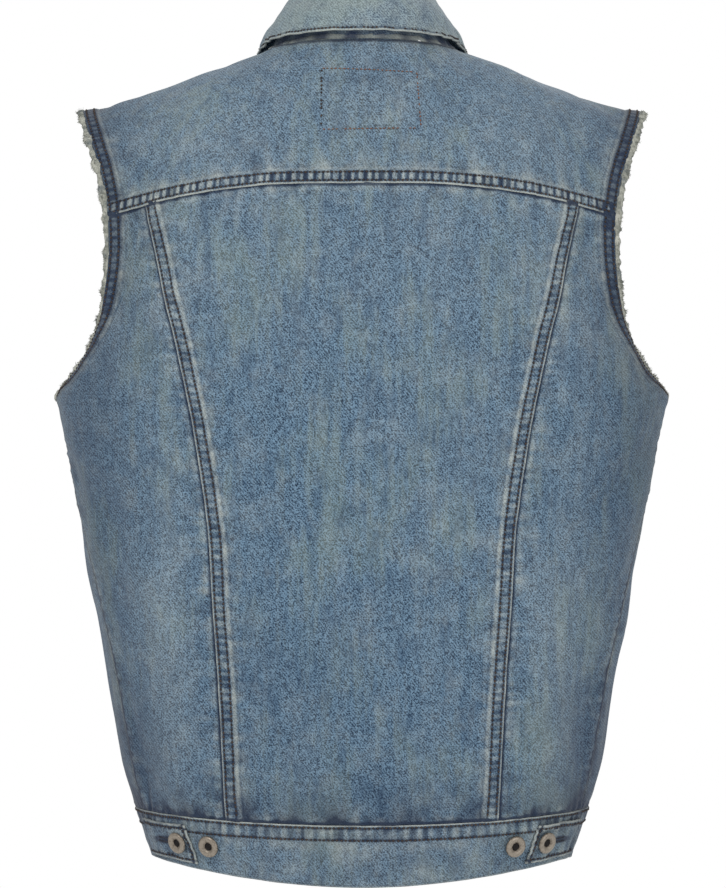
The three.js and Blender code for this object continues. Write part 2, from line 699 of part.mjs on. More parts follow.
// Collar: leaf and stand in one piece, folded outwards along its top. A station of it stands on each
// column of the neck seam, from one front end round the back to the other.
function station(face, s, side) {
  const turn = (s / NECK.share) * (Math.PI / 2);
  const cos = Math.cos(turn);
  const sin = Math.sin(turn);
  const { fold, roll, leafBack, leafSide, leafWide, leafTip } = COLLAR;
  const normal = normalOf(shell, face, s, 2 - TINY);
  const seam = topEdge(face, s + TINY).sub(topEdge(face, Math.abs(s - TINY))).normalize();
  const up = normal.clone().cross(seam).multiplyScalar(face).normalize();
  const base = shell(face, s, 2).addScaledVector(up, NECK_GAP);
  const radial = vec(sin, -face * cos, 0);
  const blend = face === BACK ? cos * cos : Math.abs(cos) ** 1.3;
  const top = vec(
    fold.halfWidth * sin,
    mix(NECK.seamY, face === BACK ? fold.backY : fold.frontY, cos),
    mix(fold.sideZ, face === BACK ? fold.backZ : fold.frontZ, blend),
  );
  let edge;
  if (face === BACK) {
    edge = vec(leafSide.x * sin ** 0.92, mix(leafSide.y, leafBack.y, cos), mix(leafSide.z, leafBack.z, cos ** 1.6));
  } else {
    const w = 1 - s / NECK.share;
    const bend = (a, b, c) => (1 - w) ** 2 * a + 2 * w * (1 - w) * b + w * w * c;
    const x = bend(leafSide.x, leafWide.x + 4, leafTip.x);
    const z = bend(leafSide.z, leafWide.z, leafTip.z);
    edge = offFront(x, z, COLLAR.clear);
  }
  const inner = top.clone().addScaledVector(radial, -roll * 0.2);
  const outer = top.clone().addScaledVector(radial, roll * 1.8).setZ(top.z - roll * 0.3);
  const crest = top.clone().addScaledVector(radial, roll * 0.8).setZ(top.z + roll);
  const bulge = vec(0, 0, 0).addScaledVector(radial, face === BACK ? 2.5 : 6);
  const path = new THREE.CatmullRomCurve3([
    base,
    base.clone().addScaledVector(up, 5),
    base.clone().lerp(inner, 0.6).addScaledVector(radial, 1),
    inner,
    crest,
    outer,
    outer.clone().lerp(edge, 0.5).add(bulge),
    edge,
  ], false, "centripetal");
  const mirror = (p) => vec(side * p.x, p.y, p.z);
  const row = [0, 0.12, 0.3, 0.44, 0.5, 0.56, 0.68, 0.84, 1];
  return { normal: mirror(normal), points: row.map((u) => mirror(path.getPoint(u))) };
}

// A point so far out from the front at x and z in the front view.
function offFront(x, z, out) {
  let s = NECK.share;
  let v = 1.8;
  for (let k = 0; k < 6; k++) {
    v = vAtZ(FRONT, s, Math.min(z, topEdge(FRONT, s).z - 0.01));
    s = root((q) => smoothShell(FRONT, q, v).x - x, -0.1, 0.99);
  }
  return shell(FRONT, s, v).addScaledVector(normalOf(shell, FRONT, s, v), out);
}

function collarGrid() {
  const front = [0.03, 0.0675, 0.09, 0.135, 0.18, 0.225, 0.25];
  const back = [0.27, 0.2025, 0.135, 0.0675];
  const half = (side) => [
    ...front.map((s) => station(FRONT, s, side)),
    ...back.map((s) => station(BACK, s, side)),
  ];
  const stations = [...half(LEFT), station(BACK, 0, RIGHT), ...half(RIGHT).reverse()];
  const points = stations[0].points.map((_, j) => stations.map(({ points: p }) => p[j]));
  const rows = points.length;
  const last = stations.length - 1;
  return points.map((row, j) => row.map((point, i) => {
    const along = row[Math.min(last, i + 1)].clone().sub(row[Math.max(0, i - 1)]);
    const up = points[Math.min(rows - 1, j + 1)][i].clone().sub(points[Math.max(0, j - 1)][i]);
    const normal = j === 0 ? stations[i].normal : along.cross(up).normalize();
    return { point, normal };
  }));
}
add("collar", wall(collarGrid(), COLLAR.cloth), denim);

// Frayed edge of an armhole: a backing strip just beyond the cloth's edge, with tapering locks.
function fray(edges) {
  const points = edges.map(([, edge]) => edge.point);
  const total = points.length;
  const spotsRound = edges.map(([inside, edge], k) => {
    const along = points[(k + 1) % total].clone().sub(points[(k + total - 1) % total]).normalize();
    const away = edge.point.clone().sub(inside.point);
    const outwards = along.clone().cross(edge.normal);
    if (outwards.dot(away) < 0) outwards.negate();
    return { point: edge.point, normal: edge.normal, outwards: outwards.normalize() };
  });
  const lengths = points.map((p, k) => p.distanceTo(points[(k + 1) % total]));
  const round = lengths.reduce((a, b) => a + b, 0);
  const along = (distance) => {
    let k = 0;
    let left = distance;
    while (left > lengths[k]) left -= lengths[k++];
    const a = spotsRound[k];
    const b = spotsRound[(k + 1) % total];
    const t = left / lengths[k];
    const of = (name) => a[name].clone().lerp(b[name], t);
    return { point: of("point"), normal: of("normal").normalize(), outwards: of("outwards").normalize() };
  };
  const inner = [];
  const tips = [];
  const count = FRAY.locks * 2;
  for (let k = 0; k < count; k++) {
    const { point, normal, outwards } = along((k / count) * round * (1 - 1e-6));
    const wave = 0.5 + 0.25 * Math.sin(k * 2.4) + 0.25 * Math.sin(k * 0.37 + 1);
    const length = k % 2 ? mix(FRAY.shortest, FRAY.longest, wave) : 0.4;
    const start = point.clone().addScaledVector(outwards, SEAM_GAP + 0.2);
    inner.push({ point: start, normal });
    const sway = normal.clone().multiplyScalar(0.8 * Math.sin(k * 1.7) * (k % 2));
    tips.push({ point: start.clone().addScaledVector(outwards, FRAY.root + length).add(sway), normal });
  }
  return wall([inner, tips], FRAY.thickness, true);
}
for (const [side, name] of SIDES) add(`armhole_fray_${name}`, fray(armholeEdges[side]), raveled);

export default vest;
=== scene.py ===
"""Looks of the denim vest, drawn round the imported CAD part.

Every cloth piece is a fine sheet on the same shell as its solid. Sizes are in millimetres and are
turned into metres when a mesh is made. s runs across a face from its centre line to the side seam or
armhole, v runs up it: 0 at the hem, 1 at the armpit, 2 at the neck and shoulder seams.
"""

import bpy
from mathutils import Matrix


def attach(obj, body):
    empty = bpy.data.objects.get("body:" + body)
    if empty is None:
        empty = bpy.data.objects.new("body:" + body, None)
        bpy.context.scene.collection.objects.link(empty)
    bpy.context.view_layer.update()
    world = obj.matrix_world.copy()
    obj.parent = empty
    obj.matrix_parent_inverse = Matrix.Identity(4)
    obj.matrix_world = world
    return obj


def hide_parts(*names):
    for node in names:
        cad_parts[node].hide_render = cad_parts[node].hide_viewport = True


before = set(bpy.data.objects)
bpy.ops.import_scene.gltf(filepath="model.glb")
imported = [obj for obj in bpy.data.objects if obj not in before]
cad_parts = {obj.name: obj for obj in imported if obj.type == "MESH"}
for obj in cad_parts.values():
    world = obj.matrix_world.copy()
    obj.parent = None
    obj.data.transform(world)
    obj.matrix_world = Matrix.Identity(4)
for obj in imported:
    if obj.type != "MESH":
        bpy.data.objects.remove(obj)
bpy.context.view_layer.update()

import logging
import math
from dataclasses import dataclass, field
from enum import Enum
from typing import Callable, Sequence

import bmesh
import bpy
import numpy as np
from mathutils import Vector

log = logging.getLogger("denim_vest")
MM = 0.001
TINY = 1e-3
Array = np.ndarray
Line = Callable[[Array], Array]
Socket = bpy.types.NodeSocket
Node = bpy.types.Node


class Face(Enum):
    """Half of the shell that a piece lies on."""

    BACK = 1
    FRONT = -1


class Side(Enum):
    """Side of the centre plane, as seen in the back view."""

    LEFT = -1
    RIGHT = 1

    @property
    def word(self) -> str:
        """Word that the CAD nodes use for this side."""
        return self.name.lower()


@dataclass(frozen=True)
class Cloth:
    """Thicknesses and gaps of the cloth."""

    thick: float = 1.6
    band: float = 2.4
    lap: float = 1.1
    gap: float = 0.3
    rest: float = 0.5
    tab: float = 2.2
    collar: float = 1.8


@dataclass(frozen=True)
class Neck:
    """Neck seam, a tilted oval."""

    half_width: float = 76
    seam_y: float = 10
    back_y: float = -72
    front_y: float = 84
    back_z: float = 2
    front_z: float = -84
    share: float = 0.27


@dataclass(frozen=True)
class Shoulder:
    """Shoulder seam and how full the shell is beside it."""

    length: float = 143
    fall: float = 49.5
    sag: float = 0.69
    corner_pull: tuple[float, float] = (1.42, 0.9)
    pull: tuple[float, float] = (1.45, 1.15)


@dataclass(frozen=True)
class Levels:
    """Heights of the hem, the waist seam and the armpit."""

    hem: float = -631.5
    waist: float = -593.5
    armpit: float = -273


CLOTH = Cloth()
NECK = Neck()
SHOULDER = Shoulder()
LEVELS = Levels()
V_WAIST = (LEVELS.waist - LEVELS.hem) / (LEVELS.armpit - LEVELS.hem)
# v just inside the top, where the shell still has a slope
V_TOP = 1.999
SQUARENESS = 2.3
ARMHOLE_TURN = 62
ARMHOLE_BLEND = 1.4
# how far the armhole edges stand open, back and front, and how that starts, ends and dies away inwards
FLARE = {1: 26, -1: 20}
FLARE_START = 0.08
FLARE_END = (0.3, 0.95)
FLARE_BLEND = 5

# height, drop at the centre, half-width, reach to the back, reach to the front, angle of the side seam
TORSO = (
    (-631.5, 14.5, 164.7, 111, 107.5, 71),
    (-593.5, 4.5, 177.5, 118, 114, 68),
    (-560, 4, 187.5, 121, 118, 67),
    (-480, 10, 201.5, 118, 121, 68.5),
    (-400, 22, 215, 120, 124, 76),
    (-330, 38, 228.7, 124, 125, 87),
    (-273, 49, 240, 128, 123, 91),
)
# height and reach from the centre plane
ARMHOLE = {
    Face.BACK: (
        (-273, 240), (-263, 230), (-253, 220.8), (-244, 214.8), (-235, 209.2), (-216.5, 201.3),
        (-189, 196), (-160, 193.6), (-130, 195.4), (-104, 200.2), (-75, 209.8), (-49.5, 219),
    ),
    Face.FRONT: (
        (-273, 240), (-262, 230), (-247, 214), (-220, 196), (-190, 187),
        (-150, 186), (-110, 192), (-75, 206), (-49.5, 219),
    ),
}
# reach and height
YOKE_EDGE = ((0, -112), (60, -113), (110, -118), (158, -126), (200, -137))
# height and reach
PRINCESS = (
    (-598, 103), (-490, 109), (-435, 113), (-371, 117),
    (-296, 128), (-252, 137), (-193, 150), (-120, 167),
)


@dataclass(frozen=True)
class Fold:
    """Soft ridge, or trough if its height is negative, along a line in the front or back view."""

    face: Face
    x0: float
    z0: float
    x1: float
    z1: float
    breadth: float
    height: float


BACK, FRONT = Face.BACK, Face.FRONT
# The first 18 are the solid's own. The rest are finer and only drawn.
FOLDS = (
    Fold(BACK, -160, -430, -136, -592, 17, 4),
    Fold(BACK, 138, -420, 152, -590, 17, 4.5),
    Fold(BACK, 178, -500, 160, -596, 13, -3.5),
    Fold(BACK, -182, -510, -160, -596, 13, -3),
    Fold(BACK, -40, -540, -62, -596, 15, 2.5),
    Fold(BACK, 48, -545, 40, -597, 14, 2.2),
    Fold(BACK, 190, -240, 120, -180, 16, 2.5),
    Fold(BACK, -188, -232, -130, -190, 15, 2.2),
    Fold(BACK, 222, -318, 190, -352, 12, -3),
    Fold(BACK, -222, -330, -190, -370, 14, -2.5),
    Fold(FRONT, -120, -420, -98, -590, 18, 4),
    Fold(FRONT, 112, -430, 124, -588, 18, 4.5),
    Fold(FRONT, -172, -470, -150, -592, 15, -3.5),
    Fold(FRONT, 176, -450, 158, -590, 15, -3.5),
    Fold(FRONT, -176, -235, -105, -205, 17, 3),
    Fold(FRONT, 172, -225, 110, -190, 16, 2.5),
    Fold(FRONT, -62, -530, -54, -594, 14, 2.5),
    Fold(FRONT, 66, -520, 60, -594, 15, 2.5),
    Fold(BACK, -186, -250, -176, -420, 9, 1.3),
    Fold(BACK, 184, -246, 178, -360, 8, -1.1),
    Fold(BACK, -205, -290, -158, -330, 7, 1.2),
    Fold(BACK, 208, -286, 166, -318, 8, 1.3),
    Fold(BACK, -150, -300, -146, -470, 8, 1.1),
    Fold(BACK, 155, -310, 148, -400, 7, -1.0),
    Fold(BACK, -92, -560, -96, -597, 8, 1.6),
    Fold(BACK, -24, -566, -22, -597, 7, 1.4),
    Fold(BACK, 14, -556, 16, -597, 6, -1.3),
    Fold(BACK, 84, -560, 88, -597, 8, 1.5),
    Fold(BACK, 116, -572, 120, -597, 6, -1.2),
    Fold(BACK, -124, -574, -128, -597, 6, -1.3),
    Fold(BACK, -70, -120, -74, -176, 8, 1.0),
    Fold(BACK, -12, -122, -10, -160, 7, -0.9),
    Fold(BACK, 52, -122, 60, -186, 8, 1.0),
    Fold(BACK, 112, -126, 108, -170, 7, -0.9),
    Fold(BACK, -140, -52, -118, -96, 11, 1.0),
    Fold(BACK, 146, -56, 120, -92, 10, 1.1),
    Fold(BACK, -50, -14, -36, -58, 9, -0.9),
    Fold(BACK, 54, -16, 40, -50, 8, 0.9),
    Fold(FRONT, -184, -250, -172, -400, 9, 1.3),
    Fold(FRONT, 182, -246, 176, -380, 8, -1.2),
    Fold(FRONT, -150, -300, -140, -450, 8, 1.1),
    Fold(FRONT, 150, -310, 142, -420, 8, 1.2),
    Fold(FRONT, -86, -562, -90, -597, 7, 1.5),
    Fold(FRONT, 88, -558, 92, -597, 7, 1.4),
    Fold(FRONT, -130, -560, -134, -597, 7, -1.3),
    Fold(FRONT, 138, -566, 142, -597, 7, -1.3),
    Fold(FRONT, -110, -110, -70, -170, 10, 1.1),
    Fold(FRONT, 114, -116, 76, -160, 9, 1.0),
)


class Curve:
    """Smooth curve through a table's rows, the same one that the solids use."""

    def __init__(self, rows: Sequence[Sequence[float]], by: int, out: int) -> None:
        self.x = np.array([row[by] for row in rows], float)
        self.y = np.array([row[out] for row in rows], float)
        low = np.maximum(np.arange(len(self.x)) - 1, 0)
        high = np.minimum(np.arange(len(self.x)) + 1, len(self.x) - 1)
        self.slope = (self.y[high] - self.y[low]) / (self.x[high] - self.x[low])

    def __call__(self, x: Array) -> Array:
        x = np.asarray(x, float)
        i = np.clip(np.searchsorted(self.x, x, side="right") - 1, 0, len(self.x) - 2)
        gap = self.x[i + 1] - self.x[i]
        inside = hermite(
            self.y[i], self.slope[i] * gap, self.y[i + 1], self.slope[i + 1] * gap, (x - self.x[i]) / gap
        )
        below = self.y[0] + self.slope[0] * (x - self.x[0])
        above = self.y[-1] + self.slope[-1] * (x - self.x[-1])
        return np.where(x <= self.x[0], below, np.where(x >= self.x[-1], above, inside))


def hermite(p0: Array, m0: Array, p1: Array, m1: Array, t: Array) -> Array:
    """Value of a cubic with those ends and slopes."""
    t2 = t * t
    t3 = t2 * t
    return (2 * t3 - 3 * t2 + 1) * p0 + (t3 - 2 * t2 + t) * m0 + (3 * t2 - 2 * t3) * p1 + (t3 - t2) * m1


def smooth(t: Array) -> Array:
    """Smooth step from 0 to 1."""
    c = np.clip(t, 0, 1)
    return c * c * (3 - 2 * c)


def mix(a: Array, b: Array, t: Array) -> Array:
    """Value so far between a and b."""
    return a + (b - a) * t


def unit(v: Array) -> Array:
    """Vectors of length 1."""
    return v / np.maximum(np.linalg.norm(v, axis=-1, keepdims=True), 1e-12)


def dot(a: Array, b: Array) -> Array:
    """Dot products along the last axis."""
    return (a * b).sum(-1)


def pack(*parts: Array) -> Array:
    """Vectors from their components."""
    return np.stack(np.broadcast_arrays(*parts), -1).astype(float)


def solve(test: Line, low: Array, high: Array) -> Array:
    """Where test passes zero between low and high, for each value of an array."""
    rising = test(high) > test(low)
    for _ in range(26):
        middle = (low + high) / 2
        up = (test(middle) > 0) == rising
        high = np.where(up, middle, high)
        low = np.where(up, low, middle)
    return (low + high) / 2


class Shell:
    """The smooth shell that all the cloth follows."""

    def __init__(self) -> None:
        self.drop, self.width, self.back, self.front, self.seam = (Curve(TORSO, 0, k) for k in range(1, 6))
        self.armhole = {face: Curve(rows, 0, 1) for face, rows in ARMHOLE.items()}
        self.yoke_height = Curve(YOKE_EDGE, 0, 1)
        self.princess_reach = Curve(PRINCESS, 0, 1)

    def lower(self, face: Face, s: Array, v: Array) -> Array:
        """Point below the armpit, right half."""
        side = mix(LEVELS.hem, LEVELS.armpit, v)
        z = side - self.drop(side) * np.cos(s * np.pi / 2) ** 2
        seam = self.seam(side)
        angle = np.radians(s * seam if face is BACK else 180 - s * (180 - seam))
        sin, cos = np.sin(angle), np.cos(angle)
        round_off = (np.abs(sin) ** SQUARENESS + np.abs(cos) ** SQUARENESS) ** (-1 / SQUARENESS)
        depth = np.where(cos > 0, self.back(z), self.front(z))
        return pack(self.width(z) * sin * round_off, -depth * cos * round_off, z)

    def top_edge(self, face: Face, s: Array) -> Array:
        """Neck seam and shoulder seam."""
        w = np.clip((s - NECK.share) / (1 - NECK.share), 0, None)
        fall = SHOULDER.fall * (w + SHOULDER.sag * w * w * (1 - w))
        shoulder = pack(NECK.half_width + SHOULDER.length * w, NECK.seam_y, -fall)
        turn = np.minimum(s / NECK.share, 1) * (np.pi / 2)
        cos = np.cos(turn)
        y = NECK.back_y if face is BACK else NECK.front_y
        z = NECK.back_z * cos * cos if face is BACK else NECK.front_z * np.abs(cos) ** 1.3
        neck = pack(NECK.half_width * np.sin(turn), mix(NECK.seam_y, y, cos), z)
        return np.where((s > NECK.share)[..., None], shoulder, neck)

    def top_direction(self, face: Face, s: Array) -> Array:
        """Direction and pull with which the shell reaches that edge."""
        sign = face.value
        k = 0 if face is BACK else 1
        centre = np.array([0, 0.36, 0.8] if face is BACK else [0, -0.35, 0.94])
        corner = np.array([-0.24, sign * 0.96, 0.12]) * SHOULDER.corner_pull[k]
        shoulder = np.array([0, sign * 0.99, sign * -0.13]) * SHOULDER.pull[k]
        w = np.clip((s - NECK.share) / (1 - NECK.share), 0, 1)[..., None]
        outer = corner + (shoulder - corner) * (1 - (1 - w) ** 2)
        turn = (np.minimum(s / NECK.share, 1) * (np.pi / 2))[..., None]
        inner = centre + (corner - centre) * (1 - np.cos(turn))
        inner[..., 0] = corner[0] * np.sin(turn[..., 0])
        return np.where((s > NECK.share)[..., None], outer, inner)

    def rising(self, face: Face, s: Array, t: Array) -> Array:
        """Point above the armpit before the armhole is shaped."""
        one = np.ones_like(s)
        foot = self.lower(face, s, one)
        up = unit(foot - self.lower(face, s, one - TINY))
        out = unit(self.lower(face, s + TINY, one) - foot)
        bend = smooth((s - 0.45) / 0.55)[..., None]
        turn = np.radians(ARMHOLE_TURN) * bend
        top = self.top_edge(face, s)
        reach = np.linalg.norm(top - foot, axis=-1, keepdims=True)
        leave = (up * np.cos(turn) - out * np.sin(turn)) * reach * (1 + 0.15 * bend)
        arrive = self.top_direction(face, s) * reach
        return hermite(foot, leave, top, arrive, t[..., None])

    def smooth_point(self, face: Face, s: Array, v: Array) -> Array:
        """Point of the shell without folds, on either side."""
        s, v = np.broadcast_arrays(np.asarray(s, float), np.asarray(v, float))
        a = np.abs(s)
        t = np.maximum(v - 1, 0)
        high = self.rising(face, a, t)
        edge = self.rising(face, np.ones_like(a), t)
        high[..., 0] += (self.armhole[face](edge[..., 2]) - edge[..., 0]) * a**ARMHOLE_BLEND
        start, end = FLARE_END
        opened = FLARE[face.value] * smooth(t / FLARE_START) * (1 - smooth((t - start) / (end - start)))
        high[..., 1] -= face.value * opened * a**FLARE_BLEND
        p = np.where((v <= 1)[..., None], self.lower(face, a, np.minimum(v, 1)), high)
        p[..., 0] = np.where(s < 0, -p[..., 0], p[..., 0])
        return p

    def normal_of(
        self, surface: Callable[[Face, Array, Array], Array], face: Face, s: Array, v: Array
    ) -> Array:
        """Outward normal of one of the surfaces."""
        along = surface(face, s + TINY, v) - surface(face, s - TINY, v)
        up = surface(face, s, v + TINY) - surface(face, s, v - TINY)
        return unit(np.cross(along, up)) * face.value

    def fold_height(self, face: Face, p: Array) -> Array:
        """How far the folds lift the cloth."""
        total = np.zeros(p.shape[:-1])
        for f in FOLDS:
            if f.face is not face:
                continue
            dx, dz = f.x1 - f.x0, f.z1 - f.z0
            length = math.hypot(dx, dz)
            along = ((p[..., 0] - f.x0) * dx + (p[..., 2] - f.z0) * dz) / length
            across = ((p[..., 0] - f.x0) * dz - (p[..., 2] - f.z0) * dx) / length
            past = np.maximum(0, np.maximum(-along, along - length)) / (1.6 * f.breadth)
            total += f.height * np.exp(-((across / f.breadth) ** 2) - past * past)
        return total

    def point(self, face: Face, s: Array, v: Array) -> Array:
        """Point of the shell with its folds.

        Args:
            face: Back or front.
            s: Place across, from -1 to 1.
            v: Place up, from 0 to 2.

        Returns:
            Points in millimetres.
        """
        s, v = np.broadcast_arrays(np.asarray(s, float), np.asarray(v, float))
        p = self.smooth_point(face, s, v)
        fade = smooth((1 - np.abs(s)) / 0.1) * smooth((2 - v) / 0.15) * smooth((v - V_WAIST) / 0.08)
        n = self.normal_of(self.smooth_point, face, s, v)
        return p + n * (fade * self.fold_height(face, p))[..., None]

    def normal(self, face: Face, s: Array, v: Array) -> Array:
        """Outward normal of the folded shell."""
        s, v = np.broadcast_arrays(np.asarray(s, float), np.asarray(v, float))
        return self.normal_of(self.point, face, s, v)

    def per_unit(self, face: Face, s: Array, v: Array) -> tuple[Array, Array]:
        """Millimetres square to a line of s, and of v, for one unit of the other."""
        s, v = np.broadcast_arrays(np.asarray(s, float), np.asarray(v, float))
        ds = (self.smooth_point(face, s + TINY, v) - self.smooth_point(face, s - TINY, v)) / (2 * TINY)
        dv = (self.smooth_point(face, s, v + TINY) - self.smooth_point(face, s, v - TINY)) / (2 * TINY)
        area = np.linalg.norm(np.cross(ds, dv), axis=-1)
        return area / np.linalg.norm(dv, axis=-1), area / np.linalg.norm(ds, axis=-1)

    def yoke_v(self, s: Array) -> Array:
        """v of the yoke's lower edge at s."""

        def test(v: Array) -> Array:
            """Height over the yoke's lower edge."""
            p = self.smooth_point(BACK, s, v)
            return p[..., 2] - self.yoke_height(np.abs(p[..., 0]))

        return solve(test, np.full_like(s, 1.05), np.full_like(s, 1.98))

    def princess_s(self, v: Array) -> Array:
        """s of the princess seam at v, on the right."""

        def test(s: Array) -> Array:
            """Reach beyond the princess seam."""
            p = self.smooth_point(BACK, s, v)
            return p[..., 0] - self.princess_reach(p[..., 2])

        return solve(test, np.full_like(v, 0.1), np.full_like(v, 0.98))

    def s_at_x(self, face: Face, x: float, v: Array) -> Array:
        """s at which the shell stands x from the centre plane."""
        low, high = np.full_like(v, -0.5), np.full_like(v, 0.5)
        return solve(lambda s: self.smooth_point(face, s, v)[..., 0] - x, low, high)

    def v_at_z(self, face: Face, s: float, z: float) -> float:
        """v at which the shell stands at height z."""

        def test(v: Array) -> Array:
            """Height over z."""
            return self.smooth_point(face, np.full_like(v, s), v)[..., 2] - z

        return float(solve(test, np.zeros(1), np.full(1, 2.0))[0])


SHELL = Shell()


class Ripple:
    """Smooth seeded noise in the plane, about -1 to 1."""

    def __init__(self, seed: int, size: float, waves: int = 9) -> None:
        rng = np.random.default_rng(seed)
        turn = rng.uniform(0, 2 * np.pi, waves)
        pitch = 2 * np.pi / (size * rng.uniform(0.6, 1.7, waves))
        self.kx, self.ky = np.cos(turn) * pitch, np.sin(turn) * pitch
        self.phase = rng.uniform(0, 2 * np.pi, waves)
        self.gain = 1.6 / math.sqrt(waves)

    def __call__(self, x: Array, y: Array) -> Array:
        x, y = np.broadcast_arrays(np.asarray(x, float), np.asarray(y, float))
        angle = x[..., None] * self.kx + y[..., None] * self.ky + self.phase
        return np.sin(angle).sum(-1) * self.gain / 1.4


class Table:
    """A line worked out once at many places, evened out over some of them, and read between them."""

    def __init__(self, line: Line, low: float, high: float, count: int = 500, blur: int = 0) -> None:
        self.at = np.linspace(low, high, count)
        window = np.hanning(2 * blur + 3)
        values = np.pad(np.asarray(line(self.at), float), blur + 1, "edge")
        self.values = np.convolve(values, window / window.sum(), "valid")

    def __call__(self, x: Array) -> Array:
        return np.interp(x, self.at, self.values)


def level(value: float) -> Line:
    """Line that stays at one value."""
    return lambda q: np.full_like(np.asarray(q, float), value)


def mirrored(line: Line) -> Line:
    """The same line on the other side of the centre plane."""
    return lambda q: -line(q)


YOKE_V = Table(SHELL.yoke_v, -1, 1)
PRINCESS_S = Table(SHELL.princess_s, V_WAIST - 0.02, 1.9)


def new_object(name: str, mesh: bpy.types.Mesh) -> bpy.types.Object:
    """Object at the origin in the scene's collection."""
    piece = bpy.data.objects.new(name, mesh)
    bpy.context.scene.collection.objects.link(piece)
    return piece


def float_layer(mesh: bpy.types.Mesh, name: str, values: Array) -> None:
    """Point attribute of one number, or of three if values has three columns."""
    vector = values.ndim == 2
    layer = mesh.attributes.new(name, "FLOAT_VECTOR" if vector else "FLOAT", "POINT")
    layer.data.foreach_set("vector" if vector else "value", np.ascontiguousarray(values, np.float32).ravel())


@dataclass
class Grid:
    """Fine sheet of one cloth piece. Every array runs rows by columns, sizes in millimetres."""

    name: str
    point: Array
    normal: Array
    flip: bool = False
    layers: dict[str, Array] = field(default_factory=dict)

    def along(self) -> Array:
        """Distance along each row from its middle column."""
        steps = np.linalg.norm(np.diff(self.point, axis=1), axis=-1)
        run = np.concatenate([np.zeros((len(steps), 1)), np.cumsum(steps, 1)], 1)
        return run - run[:, run.shape[1] // 2][:, None]

    def rise(self) -> Array:
        """Distance up each column from its foot."""
        steps = np.linalg.norm(np.diff(self.point, axis=0), axis=-1)
        return np.concatenate([np.zeros((1, steps.shape[1])), np.cumsum(steps, 0)], 0)

    def area(self) -> float:
        """Area in square metres."""
        p = self.point
        one = np.cross(p[1:, 1:] - p[:-1, :-1], p[1:, :-1] - p[:-1, 1:])
        return float(np.linalg.norm(one, axis=-1).sum() / 2) * MM * MM

    def nearest(self, points: Array, axes: Sequence[int] = (0, 1, 2)) -> tuple[Array, Array]:
        """Mean place and normal of the sheet's four points nearest to others.

        Args:
            points: The others.
            axes: Those along which distance counts.

        Returns:
            A place and a normal for each of the others.
        """
        flat, normals, axes = self.point.reshape(-1, 3), self.normal.reshape(-1, 3), list(axes)
        far = ((flat[:, None, axes] - points[None, :, axes]) ** 2).sum(-1)
        near = np.argsort(far, axis=0)[:4]
        return flat[near].mean(0), unit(normals[near].mean(0))

    def build(self, thickness: float, materials: Sequence[bpy.types.Material]) -> bpy.types.Object:
        """Makes the object: a grid moved to the sheet's points, with its thickness inwards.

        Args:
            thickness: Of the cloth, in millimetres.
            materials: Of the right side and of the wrong side.

        Returns:
            The new object.
        """
        rows, columns = self.point.shape[:2]
        bm = bmesh.new()
        bmesh.ops.create_grid(bm, x_segments=columns - 1, y_segments=rows - 1, size=1)
        if self.flip:
            bmesh.ops.reverse_faces(bm, faces=bm.faces)
        for face in bm.faces:
            face.smooth = True
        mesh = bpy.data.meshes.new(self.name)
        bm.to_mesh(mesh)
        bm.free()
        flat = np.empty(len(mesh.vertices) * 3, np.float32)
        mesh.vertices.foreach_get("co", flat)
        flat = flat.reshape(-1, 3)
        i = np.rint((flat[:, 0] + 1) / 2 * (columns - 1)).astype(int)
        j = np.rint((flat[:, 1] + 1) / 2 * (rows - 1)).astype(int)
        mesh.vertices.foreach_set("co", (self.point[j, i] * MM).astype(np.float32).ravel())
        loops = np.empty(len(mesh.loops), np.int32)
        mesh.loops.foreach_get("vertex_index", loops)
        uv = np.stack([self.along()[j, i], self.rise()[j, i]], -1) * MM
        layer = mesh.uv_layers.new(name="cloth")
        layer.data.foreach_set("uv", uv[loops].astype(np.float32).ravel())
        for name, values in self.layers.items():
            float_layer(mesh, name, values[j, i])
        mesh.update()
        for material in materials:
            mesh.materials.append(material)
        piece = new_object(self.name, mesh)
        wall = piece.modifiers.new("thickness", "SOLIDIFY")
        wall.thickness = thickness * MM
        wall.offset = -1
        wall.use_even_offset = False
        wall.material_offset = 1 if len(materials) > 1 else 0
        wall.material_offset_rim = 0
        return piece


ROWS = (2.4, 9.1)
FAR = 14


@dataclass(frozen=True)
class Edge:
    """How one edge of a panel is made and worn. Sizes in millimetres.

    kind is 1 for a lap that lies on its neighbour, -1 for an edge that goes under, 0 for a plain one. The
    last field paints a shadow: a dark line just beyond the edge.
    """

    kind: float = 0
    width: float = 11
    lift: float = 0
    tuck: float = 0
    rope: float = 0
    crest: float = 0
    inner: float = 0
    stitches: tuple[float, ...] = ()
    pucker: float = 0.25
    gather: float = 0.25
    where: Line | None = None
    sunk: float = 0
    period: float = 6.2
    dim: float = 0
    # painted shadow: strength of a dark line just beyond the edge
    cast: float = 0

    def drawn(self, d: Array) -> Array:
        """Distance as the seam group counts it, so that its grooves lie under this edge's stitches."""
        if not self.stitches:
            return np.where(d > 1.9, d + FAR, d) if self.kind > 0 else d
        if len(self.stitches) == 1:
            return np.where(d > self.stitches[0] + 1.5, d + FAR, d * ROWS[0] / self.stitches[0])
        first, last = self.stitches
        return np.interp(d, (-9, 0, first, last, last + 900), (-9, 0, *ROWS, ROWS[1] + 900))


